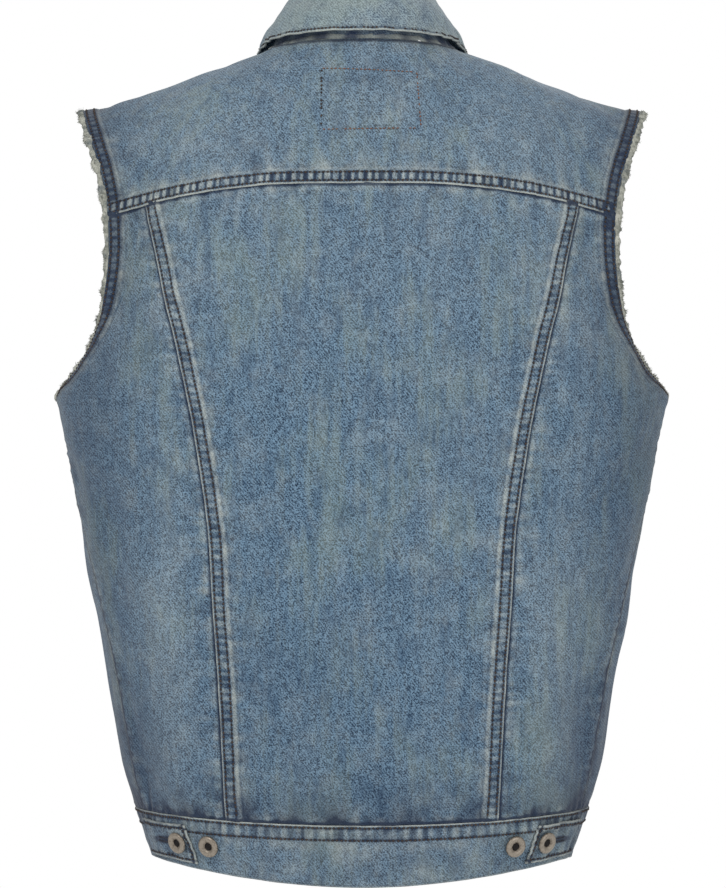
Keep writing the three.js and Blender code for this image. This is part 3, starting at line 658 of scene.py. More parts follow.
YOKE_HEM = Edge(1, 11, CLOTH.lap, rope=1, crest=1, inner=0.22, stitches=(2.3, 9.0), pucker=0.4, gather=0.42)
PRINCESS_LAP = Edge(1, 11.5, CLOTH.lap, rope=0.5, crest=0.7, inner=0.5, stitches=(2.3, 9.2), pucker=0.34)
TUCKED = Edge(-1, tuck=2.2, pucker=0.34, gather=0.4, sunk=0.15)
SEWN_IN = Edge(-1, tuck=0.1, pucker=0.4, gather=0.35)
# The neck edge gets a painted shadow line below its pale ridge, under the collar's stand.
NECK_EDGE = Edge(1, 0.7, tuck=0.1, pucker=0.12, gather=0.1, cast=1.3)
SIDE_LAP = Edge(1, 3, crest=0.5, pucker=0.3, where=lambda v: smooth((0.985 - v) / 0.03))
LEAF_EDGE = Edge(1, 3.4, crest=0.9, stitches=(2.2,))
STAND_FOOT = Edge(1, 3, crest=0.85)
SIDE_UNDER = Edge(-1, pucker=0.3, gather=0.3, where=SIDE_LAP.where)


def armhole_band(where: Line | None = None) -> Edge:
    """Stitched band along an armhole."""
    return Edge(
        1, 10.5, CLOTH.lap, rope=0.3, inner=0.4, stitches=(2.4, 8.6), pucker=0.24, gather=0.15,
        dim=0.42, where=where
    )


def above_armpit(v: Array) -> Array:
    """1 above the armpit, 0 below it."""
    return smooth((v - 0.97) / 0.03)


@dataclass(frozen=True)
class Spot:
    """Soft oval patch in the front or back view.

    As paint, an amount over 0 darkens the cloth and one under 0 pales it. As a lump, it is the height.
    """

    x: float
    z: float
    half_width: float
    half_height: float
    amount: float

    def at(self, p: Array) -> Array:
        """Strength at points."""
        away = ((p[..., 0] - self.x) / self.half_width) ** 2 + ((p[..., 2] - self.z) / self.half_height) ** 2
        return self.amount * np.exp(-away)


@dataclass
class Panel:
    """One cut piece of the shell, between two lines of s and two lines of v."""

    name: str
    face: Face
    lines: tuple[Line, Line, Line, Line]
    edges: tuple[Edge, Edge, Edge, Edge]
    columns: int
    rows: int
    thick: float = CLOTH.thick
    step_in: float = 0
    seed: int = 1
    fine: tuple[int, int, int, int] = (10, 10, 10, 10)
    step: float = 1.25
    out: float = 0
    spots: tuple[Spot, ...] = ()
    lumps: tuple[Spot, ...] = ()
    below: tuple[tuple[int, Edge], ...] = ()
    faded: float = 0

    def _ruled(
        self, low: Array, high: Array, per_low: Array, per_high: Array, at: Array, sides: tuple
    ) -> Array:
        """Places of the grid's lines, which are closer together beside both edges.

        Args:
            low: Place of the low edge.
            high: Place of the high edge.
            per_low: Millimetres a unit at the low edge.
            per_high: The same at the high edge.
            at: Which line it is, from 0.
            sides: Count of close lines at the low and high edge, count of lines, tuck at both edges.

        Returns:
            Places in units of s or v.
        """
        first, last, count, tuck_low, tuck_high = sides
        low = low - tuck_low / per_low
        high = high + tuck_high / per_high
        start = low + first * self.step / per_low
        end = high - last * self.step / per_high
        inside = start + (end - start) * (at - first) / (count - 1 - first - last)
        below = low + at * self.step / per_low
        above = high - (count - 1 - at) * self.step / per_high
        return np.where(at <= first, below, np.where(at >= count - 1 - last, above, inside))

    def _per_s(self, line: Line) -> Table:
        """Millimetres a unit of s on a line that runs up the panel, evened out along it."""
        lowest = float(np.min(self.lines[2](np.zeros(1))))

        def scale(v: Array) -> Array:
            """Millimetres a unit of s at v."""
            return SHELL.per_unit(self.face, line(v), v)[0]

        return Table(scale, max(lowest - 0.02, TINY), V_TOP, blur=25)

    def _per_v(self, line: Line) -> Table:
        """Millimetres a unit of v on a line that runs across the panel, evened out along it."""

        def scale(s: Array) -> Array:
            """Millimetres a unit of v at s."""
            return SHELL.per_unit(self.face, s, np.clip(line(s), TINY, V_TOP))[1]

        return Table(scale, -1, 1, blur=20)

    def _places(self) -> tuple[Array, Array]:
        """s and v of each crossing of the rows and columns."""
        s_low, s_high, v_low, v_high = self.lines
        fine, edges = self.fine, self.edges
        i, j = np.meshgrid(np.arange(self.columns), np.arange(self.rows))
        per_s = [self._per_s(line) for line in (s_low, s_high)]
        per_v = [self._per_v(line) for line in (v_low, v_high)]
        centre = np.zeros_like(i, float)
        v = v_low(centre) + (v_high(centre) - v_low(centre)) * (j / (self.rows - 1))
        across = (fine[0], fine[1], self.columns, edges[0].tuck, edges[1].tuck)
        upwards = (fine[2], fine[3], self.rows, edges[2].tuck, edges[3].tuck)
        for _ in range(6):
            s = self._ruled(s_low(v), s_high(v), per_s[0](v), per_s[1](v), i, across)
            c = np.clip(s, -1, 1)
            v = self._ruled(v_low(c), v_high(c), per_v[0](c), per_v[1](c), j, upwards)
        return s, v

    def grid(self) -> Grid:
        """Points, normals and painted layers of the sheet.

        Returns:
            The finished grid, its points on the outer side of the cloth.
        """
        s, v = self._places()
        base = SHELL.point(self.face, s, v)
        normal = SHELL.normal(self.face, s, v)
        if self.step_in:
            x = SHELL.smooth_point(self.face, s, v)[..., 0]
            stepped = self.step_in * smooth((CLOSURE.overlap + CLOSURE.ease - x) / CLOSURE.ease)
            base = base - normal * stepped[..., None]
        run, rise = Grid("", base, normal).along(), Grid("", base, normal).rise()
        span, tall = run[:, -1:] - run[:, :1], rise[-1:]
        away = (run - run[:, :1], run[:, -1:] - run, rise, tall - rise)
        lift = sum((lump.at(base) for lump in self.lumps), np.zeros_like(s))
        relief, dim = np.zeros_like(s), np.zeros_like(s)
        layers = {}
        for key, sides, t in (("h", (2, 3), run), ("v", (0, 1), rise)):
            parts = []
            for k in sides:
                d = away[k] - self.edges[k].tuck
                drawn, kind, marks = d, np.zeros_like(d), np.zeros((*d.shape, 3))
                for edge in (self.edges[k], *(edge for side, edge in self.below if side == k)):
                    on = edge.where(v) if edge.where else np.ones_like(v)
                    formed, pulled = self._sewn(edge, k, d, t)
                    lapped = edge.lift * on * (1 - smooth((d - edge.width) / 1.6))
                    lift = np.maximum(lift, lapped) + on * formed
                    relief = relief + on * pulled
                    dim = dim + on * edge.dim * (1 - smooth((d - edge.width) / 2))
                    # Painted shadow: a dark line just beyond the edge.
                    dim = dim + on * edge.cast * np.exp(-(((d - edge.width - 1) / 0.9) ** 2))
                    drawn = mix(drawn, edge.drawn(d), on)
                    kind = kind + edge.kind * on
                    marks = marks + on[..., None] * np.array([edge.crest, edge.inner, edge.rope])
                parts.append((drawn, kind, marks, t * YOKE_HEM.period / self.edges[k].period))
            first = np.abs(parts[0][0]) < np.abs(parts[1][0])
            drawn, kind, way = (np.where(first, parts[0][n], parts[1][n]) for n in (0, 1, 3))
            layers[f"seam_{key}"] = np.stack([drawn, way, kind], -1)
            layers[f"marks_{key}"] = np.where(first[..., None], parts[0][2], parts[1][2])
        calm = np.minimum.reduce([np.clip(d / 25, 0, 1) for d in away])
        soft = 0.35 * Ripple(self.seed + 9, 34)(run, rise * 0.5) + 0.9 * Ripple(self.seed + 4, 90)(run, rise)
        lift = lift + relief + calm * soft
        wear, shade = self._paint(base, run, rise)
        if self.edges[2] is YOKE_HEM:
            dim = dim * smooth((rise - 10) / 3)
        # Pucker tops paler as worn peaks, and their troughs darker as painted shade.
        layers["wear"] = wear + 0.18 * np.clip(relief / 0.4, 0, 1.3)
        layers["shade"] = shade + dim + 0.28 * np.clip(-relief / 0.4, 0, 1.3)
        outer = base + normal * (self.out + self.thick / 2 + lift)[..., None]
        self.away, self.v = away, v
        return Grid(self.name, outer, normal, self.face is FRONT, layers)

    def _sewn(self, edge: Edge, k: int, d: Array, t: Array) -> tuple[Array, Array]:
        """What sewing does to the cloth along an edge.

        Args:
            edge: The edge.
            k: Which of the panel's sides it is.
            d: Distance from it.
            t: Way along it.

        Returns:
            Height that the seam itself makes, and height of its puckers and gathers.
        """
        rough, drift = Ripple(self.seed, 7), Ripple(self.seed + 50, 26)
        formed = -edge.sunk * smooth((1.5 - d) / 1.5)
        if not edge.kind:
            return formed, np.zeros_like(d)
        start = edge.width if edge.kind > 0 else 1.0
        puff = np.exp(-np.abs(d - 2.5) / 4.5)
        if edge.kind > 0:
            puff = np.exp(-((d - edge.width / 2) ** 2) / (edge.width / 2.6) ** 2)
            formed = formed - 0.35 * smooth((1.3 - d) / 1.3)
        for at in edge.stitches:
            formed = formed - 0.22 * np.exp(-(((d - at) / 0.8) ** 2))
        pulled = edge.pucker * rough(t, d / 3 + 40 * k) * puff
        reach = 9 + 4 * drift(t * 0.7, 130.0 * k)
        beyond = smooth((d - start + 2) / 3) * np.exp(-np.maximum(d - start, 0) / np.maximum(reach, 4))
        pulled = pulled + edge.gather * Ripple(self.seed + 77, 9)(t, d / 10 + 60 * k) * beyond
        return formed, pulled + 0.25 * drift(t, d + 90 * k) * np.exp(-np.abs(d) / 22)

    def _paint(self, p: Array, run: Array, rise: Array) -> tuple[Array, Array]:
        """Broad paler and darker parts over the panel, with painted shade at the sides, in the folds'
        troughs and just above the waistband seam.
        """
        x, z = np.abs(p[..., 0]), p[..., 2]
        ridge = SHELL.fold_height(self.face, p)
        # Paler on the folds' ridges, darker in their troughs as painted shade, and paler towards the top.
        wear = self.faded + 0.10 * np.clip(ridge / 4, -1, 1) + 0.06 * smooth((z + 330) / 200)
        # Painted shade where the cloth turns away at the sides, deeper low down.
        sides = 0.48 * smooth((x - 140) / 80)
        low_side_shade = 0.36 * smooth((x - 120) / 60) * smooth((-450 - z) / 120)
        # Painted shade in the folds' troughs; the panel also grows darker towards the hem.
        trough_shade = 0.05 * np.clip(-ridge / 3, 0, 1)
        shade = 0.14 * smooth((-400 - z) / 200) + sides + low_side_shade + trough_shade
        patchy = 0.65 + 0.5 * Ripple(self.seed + 31, 30)(run, rise)
        # Painted shade just above the waistband seam, in patches.
        if self.edges[2] is SEWN_IN:
            shade = shade + np.exp(-rise / 10) * patchy
        for spot in self.spots:
            strength = spot.at(p)
            shade = shade + np.maximum(strength, 0)
            wear = wear - np.minimum(strength, 0)
        return wear, shade

    def line(
        self, grid: Grid, edge: int, distance: float, trim: tuple[float, float] = (2, 2)
    ) -> tuple[Array, Array]:
        """Line on the sheet beside one of its edges.

        Args:
            grid: This panel's grid.
            edge: 0 low s, 1 high s, 2 low v, 3 high v.
            distance: From the edge.
            trim: What is left off at its two ends.

        Returns:
            Its points and their normals.
        """
        found = []
        for values in (grid.point, grid.normal):
            far = self.away[edge] - self.edges[edge].tuck
            if edge < 2:
                values, far = values.transpose(1, 0, 2), far.T
            if edge % 2:
                values, far = values[::-1], far[::-1]
            found.append(at_distance(values, far, distance))
        where = self.edges[edge].where
        keep = np.ones(len(found[0]), bool)
        if where:
            keep = where(self.v[:, 0 if edge == 0 else -1]) > 0.5
        points, normals = found[0][keep], found[1][keep]
        run = np.concatenate([[0], np.cumsum(np.linalg.norm(np.diff(points, axis=0), axis=1))])
        inside = (run >= trim[0]) & (run <= run[-1] - trim[1])
        return points[inside], normals[inside]


@dataclass(frozen=True)
class Closure:
    """Front closing edges, in millimetres."""

    overlap: float = 15
    placket: float = 36
    ease: float = 22


CLOSURE = Closure()


class Stitches:
    """Rows of sewing, gathered into one mesh for each thread."""

    def __init__(
        self, name: str, length: float = 2.8, pitch: float = 3.3, width: float = 2.1, high: float = 0.9
    ) -> None:
        self.name = name
        self.length, self.pitch, self.width, self.high = length, pitch, width, high
        self.rng = np.random.default_rng(sum(map(ord, name)))
        self.points: list[Array] = []

    def row(
        self, line: Array, normal: Array, keep: float = 1.0, pitch: float = 0, across: float = 0
    ) -> None:
        """Adds stitches along a line.

        Args:
            line: Points in millimetres.
            normal: Outward direction at each.
            keep: Share of the stitches that are still there.
            pitch: Of these stitches, if not the thread's own.
            across: Length of stitches that lie across the line, 0 for stitches along it.
        """
        pitch = pitch or self.pitch
        steps = np.linalg.norm(np.diff(line, axis=0), axis=1)
        run = np.concatenate([[0], np.cumsum(steps)])
        count = int(run[-1] / pitch)
        if count < 1:
            return
        middle = (np.arange(count) + 0.5) * pitch + self.rng.normal(0, 0.04 * pitch, count)
        middle = middle[self.rng.random(count) < keep]

        def at(values: Array, where: Array) -> Array:
            """Values at distances along the line."""
            return np.stack([np.interp(where, run, values[:, k]) for k in range(3)], -1)

        out = unit(at(normal, middle))
        centre = at(line, middle) + out * 0.15
        along = unit(at(line, middle + 0.8) - at(line, middle - 0.8))
        side = np.cross(out, along)
        along = unit(along + side * self.rng.normal(0, 0.1, (len(middle), 1)))
        if across:
            along, side = side, -along
        half, wide = (across or self.length) / 2, self.width / 2
        size = self.rng.uniform(0.85, 1.1, (len(middle), 1))
        corners = [
            centre - along * half * size - out * 0.12,
            centre + along * half * size - out * 0.12,
            centre + side * wide,
            centre + out * self.high * size,
            centre - side * wide,
            centre - out * 0.3,
        ]
        self.points.append(np.stack(corners, 1).reshape(-1, 3))

    def build(self, material: bpy.types.Material) -> bpy.types.Object:
        """Makes the mesh of all the rows."""
        points = np.concatenate(self.points) * MM
        first = np.arange(0, len(points), 6)[:, None]
        ring = [(2, 3), (3, 4), (4, 5), (5, 2)]
        faces = [np.concatenate([first + 0, first + b, first + a], 1) for a, b in ring]
        faces += [np.concatenate([first + 1, first + a, first + b], 1) for a, b in ring]
        return joined(self.name, points, np.concatenate(faces), material)


def joined(name: str, points: Array, faces: Array, material: bpy.types.Material) -> bpy.types.Object:
    """One mesh of many small closed shapes, faces out.

    Args:
        name: Of the piece.
        points: In metres.
        faces: Corner numbers.
        material: For all of it.

    Returns:
        The new object.
    """
    mesh = bpy.data.meshes.new(name)
    mesh.from_pydata(points.tolist(), [], faces.tolist())
    mesh.materials.append(material)
    bm = bmesh.new()
    bm.from_mesh(mesh)
    bmesh.ops.recalc_face_normals(bm, faces=bm.faces)
    for face in bm.faces:
        face.smooth = True
    bm.to_mesh(mesh)
    bm.free()
    return new_object(name, mesh)


def at_distance(values: Array, distance: Array, wanted: float) -> Array:
    """Values where distance, rising along the first axis, passes the wanted one.

    Args:
        values: Of shape steps by lines by 3.
        distance: Of shape steps by lines.
        wanted: Distance in millimetres.

    Returns:
        One value for each line.
    """
    k = np.clip((distance < wanted).sum(0), 1, len(distance) - 1)
    line = np.arange(distance.shape[1])
    low, high = distance[k - 1, line], distance[k, line]
    t = np.clip((wanted - low) / np.maximum(high - low, 1e-9), 0, 1)[:, None]
    return values[k - 1, line] * (1 - t) + values[k, line] * t


def linear(code: str) -> tuple[float, float, float, float]:
    """Colour from its six-figure code."""
    parts = [int(code[k : k + 2], 16) / 255 for k in (1, 3, 5)]
    return (*(c / 12.92 if c <= 0.04045 else ((c + 0.055) / 1.055) ** 2.4 for c in parts), 1.0)


class Tree:
    """Short hand for a shader or group tree."""

    def __init__(self, tree: bpy.types.NodeTree) -> None:
        self.tree = tree

    def node(self, kind: str, **values: object) -> bpy.types.Node:
        """New node with these properties."""
        made = self.tree.nodes.new("ShaderNode" + kind)
        for key, value in values.items():
            setattr(made, key, value)
        return made

    def put(self, socket: bpy.types.NodeSocket, value: object) -> None:
        """Links a socket, or sets a number, vector or colour."""
        if isinstance(value, bpy.types.NodeSocket):
            self.tree.links.new(value, socket)
        else:
            socket.default_value = value

    def math(self, kind: str, *values: object, clamp: bool = False) -> Socket:
        """Result of a Math node."""
        made = self.node("Math", operation=kind, use_clamp=clamp)
        for k, value in enumerate(values):
            self.put(made.inputs[k], value)
        return made.outputs[0]

    def bell(self, value: object, centre: float, width: float) -> Socket:
        """1 at the centre, falling softly over the width."""
        away = self.math("DIVIDE", self.math("SUBTRACT", value, centre), width)
        return self.math("EXPONENT", self.math("MULTIPLY", self.math("MULTIPLY", away, away), -1.0))

    def ramp(self, value: object, low: float, high: float, to: tuple[float, float] = (0, 1)) -> Socket:
        """Smooth change from one value to another."""
        made = self.node("MapRange", interpolation_type="SMOOTHSTEP")
        for k, number in enumerate((value, low, high, *to)):
            self.put(made.inputs[k], number)
        return made.outputs[0]

    def noise(self, vector: object, scale: float, detail: float = 2, rough: float = 0.5) -> Socket:
        """Value of a noise, about 0.5."""
        made = self.node("TexNoise", noise_dimensions="3D")
        self.put(made.inputs["Vector"], vector)
        self.put(made.inputs["Scale"], scale)
        self.put(made.inputs["Detail"], detail)
        self.put(made.inputs["Roughness"], rough)
        return made.outputs["Fac"]

    def stretched(self, vector: object, scale: tuple[float, float, float], turn: float = 0) -> Socket:
        """Vector after a Mapping node."""
        made = self.node("Mapping")
        self.put(made.inputs["Vector"], vector)
        made.inputs["Scale"].default_value = scale
        made.inputs["Rotation"].default_value = (0, 0, turn)
        return made.outputs[0]

    def blend(self, amount: object, a: object, b: object, kind: str = "MIX") -> Socket:
        """Mixed colour."""
        made = self.node("Mix", data_type="RGBA", blend_type=kind, clamp_factor=True)
        self.put(made.inputs[0], amount)
        self.put(made.inputs[6], a)
        self.put(made.inputs[7], b)
        return made.outputs[2]

    def group(self, tree: bpy.types.NodeTree, **inputs: object) -> bpy.types.Node:
        """Group node with these inputs."""
        made = self.node("Group")
        made.node_tree = tree
        for key, value in inputs.items():
            self.put(made.inputs[key], value)
        return made


def new_group(
    name: str, inputs: dict[str, str], outputs: dict[str, str]
) -> tuple[Tree, Node, Node]:
    """Group tree with its inputs and outputs.

    Args:
        name: Of the group.
        inputs: Kind of each input, by name.
        outputs: Kind of each output, by name.

    Returns:
        The tree, its input node and its output node.
    """
    tree = bpy.data.node_groups.new(name, "ShaderNodeTree")
    for direction, sockets in (("INPUT", inputs), ("OUTPUT", outputs)):
        for key, kind in sockets.items():
            tree.interface.new_socket(key, in_out=direction, socket_type="NodeSocket" + kind)
    return Tree(tree), tree.nodes.new("NodeGroupInput"), tree.nodes.new("NodeGroupOutput")


class Shaders:
    """The node groups, each made once."""

    def __init__(self) -> None:
        self.twill = self._twill()
        self.fading = self._fading()
        self.seam = self._seam()

    def _twill(self) -> bpy.types.NodeTree:
        """Weave: fine diagonal ribs broken up by uneven yarns. Reads across, up and depth in millimetres."""
        t, inputs, out = new_group("Twill", {"Cloth": "Vector"}, {"Fleck": "Float", "Height": "Float"})
        cloth = inputs.outputs["Cloth"]
        wave = t.node("TexWave", wave_type="BANDS", bands_direction="X")
        t.put(wave.inputs["Vector"], t.stretched(cloth, (1, 1, 1), math.radians(-40)))
        for key, value in (("Scale", 0.165), ("Distortion", 2.6), ("Detail", 2.0), ("Detail Scale", 1.4)):
            wave.inputs[key].default_value = value
        rib = wave.outputs["Fac"]
        yarn = t.noise(t.stretched(cloth, (0.6, 0.25, 0.6)), 1.0, 3, 0.65)
        weft = t.noise(t.stretched(cloth, (0.2, 0.65, 0.2)), 1.0, 2, 0.6)
        grit = t.noise(cloth, 1.0, 2, 0.7)
        mixed = t.math("ADD", t.math("MULTIPLY", yarn, 0.7), t.math("MULTIPLY", grit, 1.9))
        mixed = t.math("ADD", mixed, t.math("MULTIPLY", weft, 0.35))
        mixed = t.math("ADD", mixed, t.math("MULTIPLY", rib, 0.17))
        fleck = t.ramp(mixed, 1.29, 1.81)
        t.put(out.inputs["Fleck"], fleck)
        raised = t.math("ADD", t.math("MULTIPLY", rib, 0.5), t.math("MULTIPLY", mixed, 0.6))
        t.put(out.inputs["Height"], raised)
        return t.tree

    def _fading(self) -> bpy.types.NodeTree:
        """Uneven washing: yellowish patches, deep blue ones and long faint streaks."""
        outputs = {"Yellow": "Float", "Deep": "Float", "Streak": "Float", "Pale": "Float"}
        t, inputs, out = new_group("Fading", {"Cloth": "Vector"}, outputs)
        cloth = inputs.outputs["Cloth"]
        broad = t.noise(t.stretched(cloth, (1, 0.6, 1)), 0.016, 3, 0.55)
        cloudy = t.noise(t.stretched(cloth, (1, 0.75, 1)), 0.055, 4, 0.6)
        deep = t.noise(t.stretched(cloth, (1.2, 0.5, 1)), 0.075, 4, 0.65)
        streak = t.noise(t.stretched(cloth, (0.16, 0.012, 0.16)), 1.0, 3, 0.6)
        yellow = t.math("ADD", broad, t.math("MULTIPLY", streak, 0.5))
        t.put(out.inputs["Yellow"], t.ramp(yellow, 0.70, 0.98))
        t.put(out.inputs["Deep"], t.ramp(deep, 0.48, 0.68))
        t.put(out.inputs["Streak"], t.ramp(streak, 0.42, 0.66))
        t.put(out.inputs["Pale"], t.ramp(cloudy, 0.47, 0.70))
        return t.tree

    def _seam(self) -> bpy.types.NodeTree:
        """What sewing and wear leave along a seam, with painted shade in its stitch grooves and painted
        shadows beside its edges and past its inner line.

        Seam holds the distance from the edge, the way along it and its kind. Marks holds how pale its
        crest and its inner line are, and how strongly it is roped.
        """
        outputs = {"Pale": "Float", "Dark": "Float", "Height": "Float"}
        t, inputs, out = new_group("SeamMarks", {"Seam": "Vector", "Marks": "Vector"}, outputs)
        seam, marks = t.node("SeparateXYZ"), t.node("SeparateXYZ")
        t.put(seam.inputs[0], inputs.outputs["Seam"])
        t.put(marks.inputs[0], inputs.outputs["Marks"])
        far, run, kind = seam.outputs
        crest, inner, rope = marks.outputs
        spot = t.node("CombineXYZ")
        t.put(spot.inputs[0], run)
        t.put(spot.inputs[1], far)
        wobble = t.noise(spot.outputs[0], 0.16, 2)
        d = t.math("ADD", far, t.math("MULTIPLY", t.math("SUBTRACT", wobble, 0.5), 1.3))
        lap = t.math("MAXIMUM", kind, 0.0)
        under = t.math("MAXIMUM", t.math("MULTIPLY", kind, -1.0), 0.0)
        way = t.node("CombineXYZ")
        t.put(way.inputs[0], run)
        drift = t.noise(way.outputs[0], 0.16, 2)
        phase = t.math("ADD", t.math("MULTIPLY", run, 2 * math.pi / 6.4), t.math("MULTIPLY", drift, 9.0))
        coil = t.math("SINE", t.math("ADD", phase, t.math("MULTIPLY", far, -0.05)))
        coarse = t.noise(t.stretched(spot.outputs[0], (0.11, 0.16, 1)), 1.0, 2)
        inside = t.math("MULTIPLY", t.ramp(d, 1.6, 3.2), t.ramp(d, 10.8, 9.2))
        roped = t.math("MULTIPLY", t.math("MULTIPLY", inside, rope), lap)
        light = t.math("MULTIPLY", roped, t.ramp(coil, -0.1, 0.8, (0, 0.44)))
        light = t.math("MULTIPLY", light, t.ramp(coarse, 0.3, 0.6, (0.4, 1.15)))
        dim = t.math("MULTIPLY", roped, t.ramp(coil, 0.1, -0.8, (0, 0.85)))
        edge = t.math("MULTIPLY", t.math("MULTIPLY", t.ramp(d, 1.75, 0.55), crest), lap)
        edge = t.math("MULTIPLY", edge, t.ramp(coarse, 0.2, 0.6, (0.6, 1.0)))
        rib = t.math("MULTIPLY", t.math("MULTIPLY", t.bell(d, 11.9, 1.6), inner), lap)
        rib = t.math("MULTIPLY", rib, t.ramp(coarse, 0.3, 0.6, (0.2, 1.0)))
        # Painted shade in the stitch grooves, which the height also sinks.
        groove = t.math("MAXIMUM", t.bell(far, 2.4, 0.95), t.bell(far, 9.1, 0.95))
        groove = t.math("MULTIPLY", t.math("MULTIPLY", groove, lap), 0.8)
        # Painted shadow just past the inner line.
        cast = t.math("MULTIPLY", t.bell(d, 14.4, 1.0), inner)
        cast = t.math("MULTIPLY", cast, t.math("MULTIPLY", lap, 0.6))
        shadow = t.math("MULTIPLY", t.ramp(d, 3.1, 0.9), under)
        puffed = t.ramp(t.noise(t.stretched(spot.outputs[0], (0.13, 0.05, 1)), 1.0, 2), 0.38, 0.62)
        ridge = t.math("MULTIPLY", t.bell(d, 4.2, 2.4), t.math("MULTIPLY", under, 0.2))
        ridge = t.math("MULTIPLY", ridge, puffed)
        drawn = t.math("MULTIPLY", t.bell(d, 13.5, 4.5), t.math("MULTIPLY", lap, 0.22))
        drawn = t.math("MULTIPLY", drawn, puffed)
        pale = t.math("ADD", t.math("ADD", light, edge), t.math("ADD", rib, t.math("ADD", ridge, drawn)))
        dark = t.math("ADD", t.math("ADD", dim, groove), t.math("ADD", shadow, cast))
        t.put(out.inputs["Pale"], t.math("MINIMUM", pale, 1.0))
        t.put(out.inputs["Dark"], t.math("MINIMUM", dark, 1.0))
        lifted = t.math("MULTIPLY", roped, t.math("MULTIPLY", coil, 0.30))
        lifted = t.math("ADD", lifted, t.math("MULTIPLY", ridge, 0.5))
        t.put(out.inputs["Height"], t.math("SUBTRACT", lifted, t.math("MULTIPLY", groove, 0.35)))
        return t.tree


@dataclass(frozen=True)
class DenimFinish:
    """Washed blue denim. Colours as the cloth has them under even light, except the darkest blue, which
    paints shade and shadows as well as stains.
    """

    name: str = "washed_denim"
    warp: str = "#14293f"
    weft: str = "#6c89a0"
    yellow: str = "#85937f"
    deep: str = "#27435f"
    cream: str = "#b2b7b0"
    # Painted shade and shadows blend to this darkest blue, and so do stains.
    shade_and_stain: str = "#122038"
    bare: float = 0.0
    seams: bool = True

    def material(self, shaders: Shaders) -> bpy.types.Material:
        """Builds the material.

        Args:
            shaders: The shared node groups.

        Returns:
            The material.
        """
        made = bpy.data.materials.new(self.name)
        made.use_nodes = True
        t = Tree(made.node_tree)
        shader = made.node_tree.nodes["Principled BSDF"]
        apart, turned = t.node("SeparateXYZ"), t.node("CombineXYZ")
        t.put(apart.inputs[0], t.node("TexCoord").outputs["Object"])
        for k, source in enumerate((0, 2, 1)):
            t.put(turned.inputs[k], apart.outputs[source])
        scaled = t.node("VectorMath", operation="SCALE")
        t.put(scaled.inputs[0], turned.outputs[0])
        scaled.inputs["Scale"].default_value = 1 / MM
        cloth = scaled.outputs[0]
        twill = t.group(shaders.twill, Cloth=cloth)
        fading = t.group(shaders.fading, Cloth=cloth)
        colour = t.blend(twill.outputs["Fleck"], linear(self.warp), linear(self.weft))
        yellow = t.math("MULTIPLY", fading.outputs["Yellow"], 0.24)
        colour = t.blend(yellow, colour, linear(self.yellow))
        deep = t.math("MULTIPLY", fading.outputs["Deep"], 0.40)
        colour = t.blend(deep, colour, linear(self.deep))
        wear = t.node("Attribute", attribute_name="wear").outputs["Fac"]
        # shade holds painted shade and shadows as well as stains.
        shade = t.node("Attribute", attribute_name="shade").outputs["Fac"]
        pale = t.math("MULTIPLY", fading.outputs["Pale"], 0.13)
        pale = t.math("ADD", pale, t.math("ADD", wear, self.bare))
        pale = t.math("ADD", pale, t.math("MULTIPLY", fading.outputs["Streak"], 0.07))
        dark, height = shade, t.math("MULTIPLY", twill.outputs["Height"], 0.22)
        if self.seams:
            for key in "hv":
                one = t.group(
                    shaders.seam,
                    Seam=t.node("Attribute", attribute_name=f"seam_{key}").outputs["Vector"],
                    Marks=t.node("Attribute", attribute_name=f"marks_{key}").outputs["Vector"],
                )
                pale = t.math("ADD", pale, one.outputs["Pale"])
                dark = t.math("ADD", dark, one.outputs["Dark"])
                height = t.math("ADD", height, one.outputs["Height"])
        broken = t.ramp(twill.outputs["Fleck"], 0.0, 1.0, (0.72, 1.12))
        pale = t.math("MULTIPLY", pale, broken, clamp=True)
        dark = t.math("MINIMUM", dark, 1.15)
        colour = t.blend(t.math("MULTIPLY", pale, 0.85), colour, linear(self.cream))
        # Painted shade and shadows, with stains, blend the colour towards the darkest blue.
        colour = t.blend(t.math("MULTIPLY", dark, 0.80), colour, linear(self.shade_and_stain))
        t.put(shader.inputs["Base Color"], colour)
        t.put(shader.inputs["Roughness"], t.ramp(pale, 0, 1, (0.86, 0.95)))
        shader.inputs["Specular IOR Level"].default_value = 0.18
        shader.inputs["Sheen Weight"].default_value = 0.12
        shader.inputs["Sheen Roughness"].default_value = 0.6
        bump = t.node("Bump")
        bump.inputs["Strength"].default_value = 0.85
        bump.inputs["Distance"].default_value = MM
        t.put(bump.inputs["Height"], height)
        t.put(shader.inputs["Normal"], bump.outputs[0])
        return made


@dataclass(frozen=True)
class ThreadFinish:
    """Sewing thread, with twisted plies and uneven fading."""

    name: str
    colour: str
    faded: str

    def material(self) -> bpy.types.Material:
        """Builds the material."""
        made = bpy.data.materials.new(self.name)
        made.use_nodes = True
        t = Tree(made.node_tree)
        shader = made.node_tree.nodes["Principled BSDF"]
        place = t.node("TexCoord").outputs["Object"]
        patch = t.ramp(t.noise(place, 130, 3, 0.6), 0.35, 0.68)
        t.put(shader.inputs["Base Color"], t.blend(patch, linear(self.colour), linear(self.faded)))
        shader.inputs["Roughness"].default_value = 0.75
        bump = t.node("Bump")
        bump.inputs["Distance"].default_value = 0.0002
        t.put(bump.inputs["Height"], t.noise(place, 2600, 2))
        t.put(shader.inputs["Normal"], bump.outputs[0])
        return made


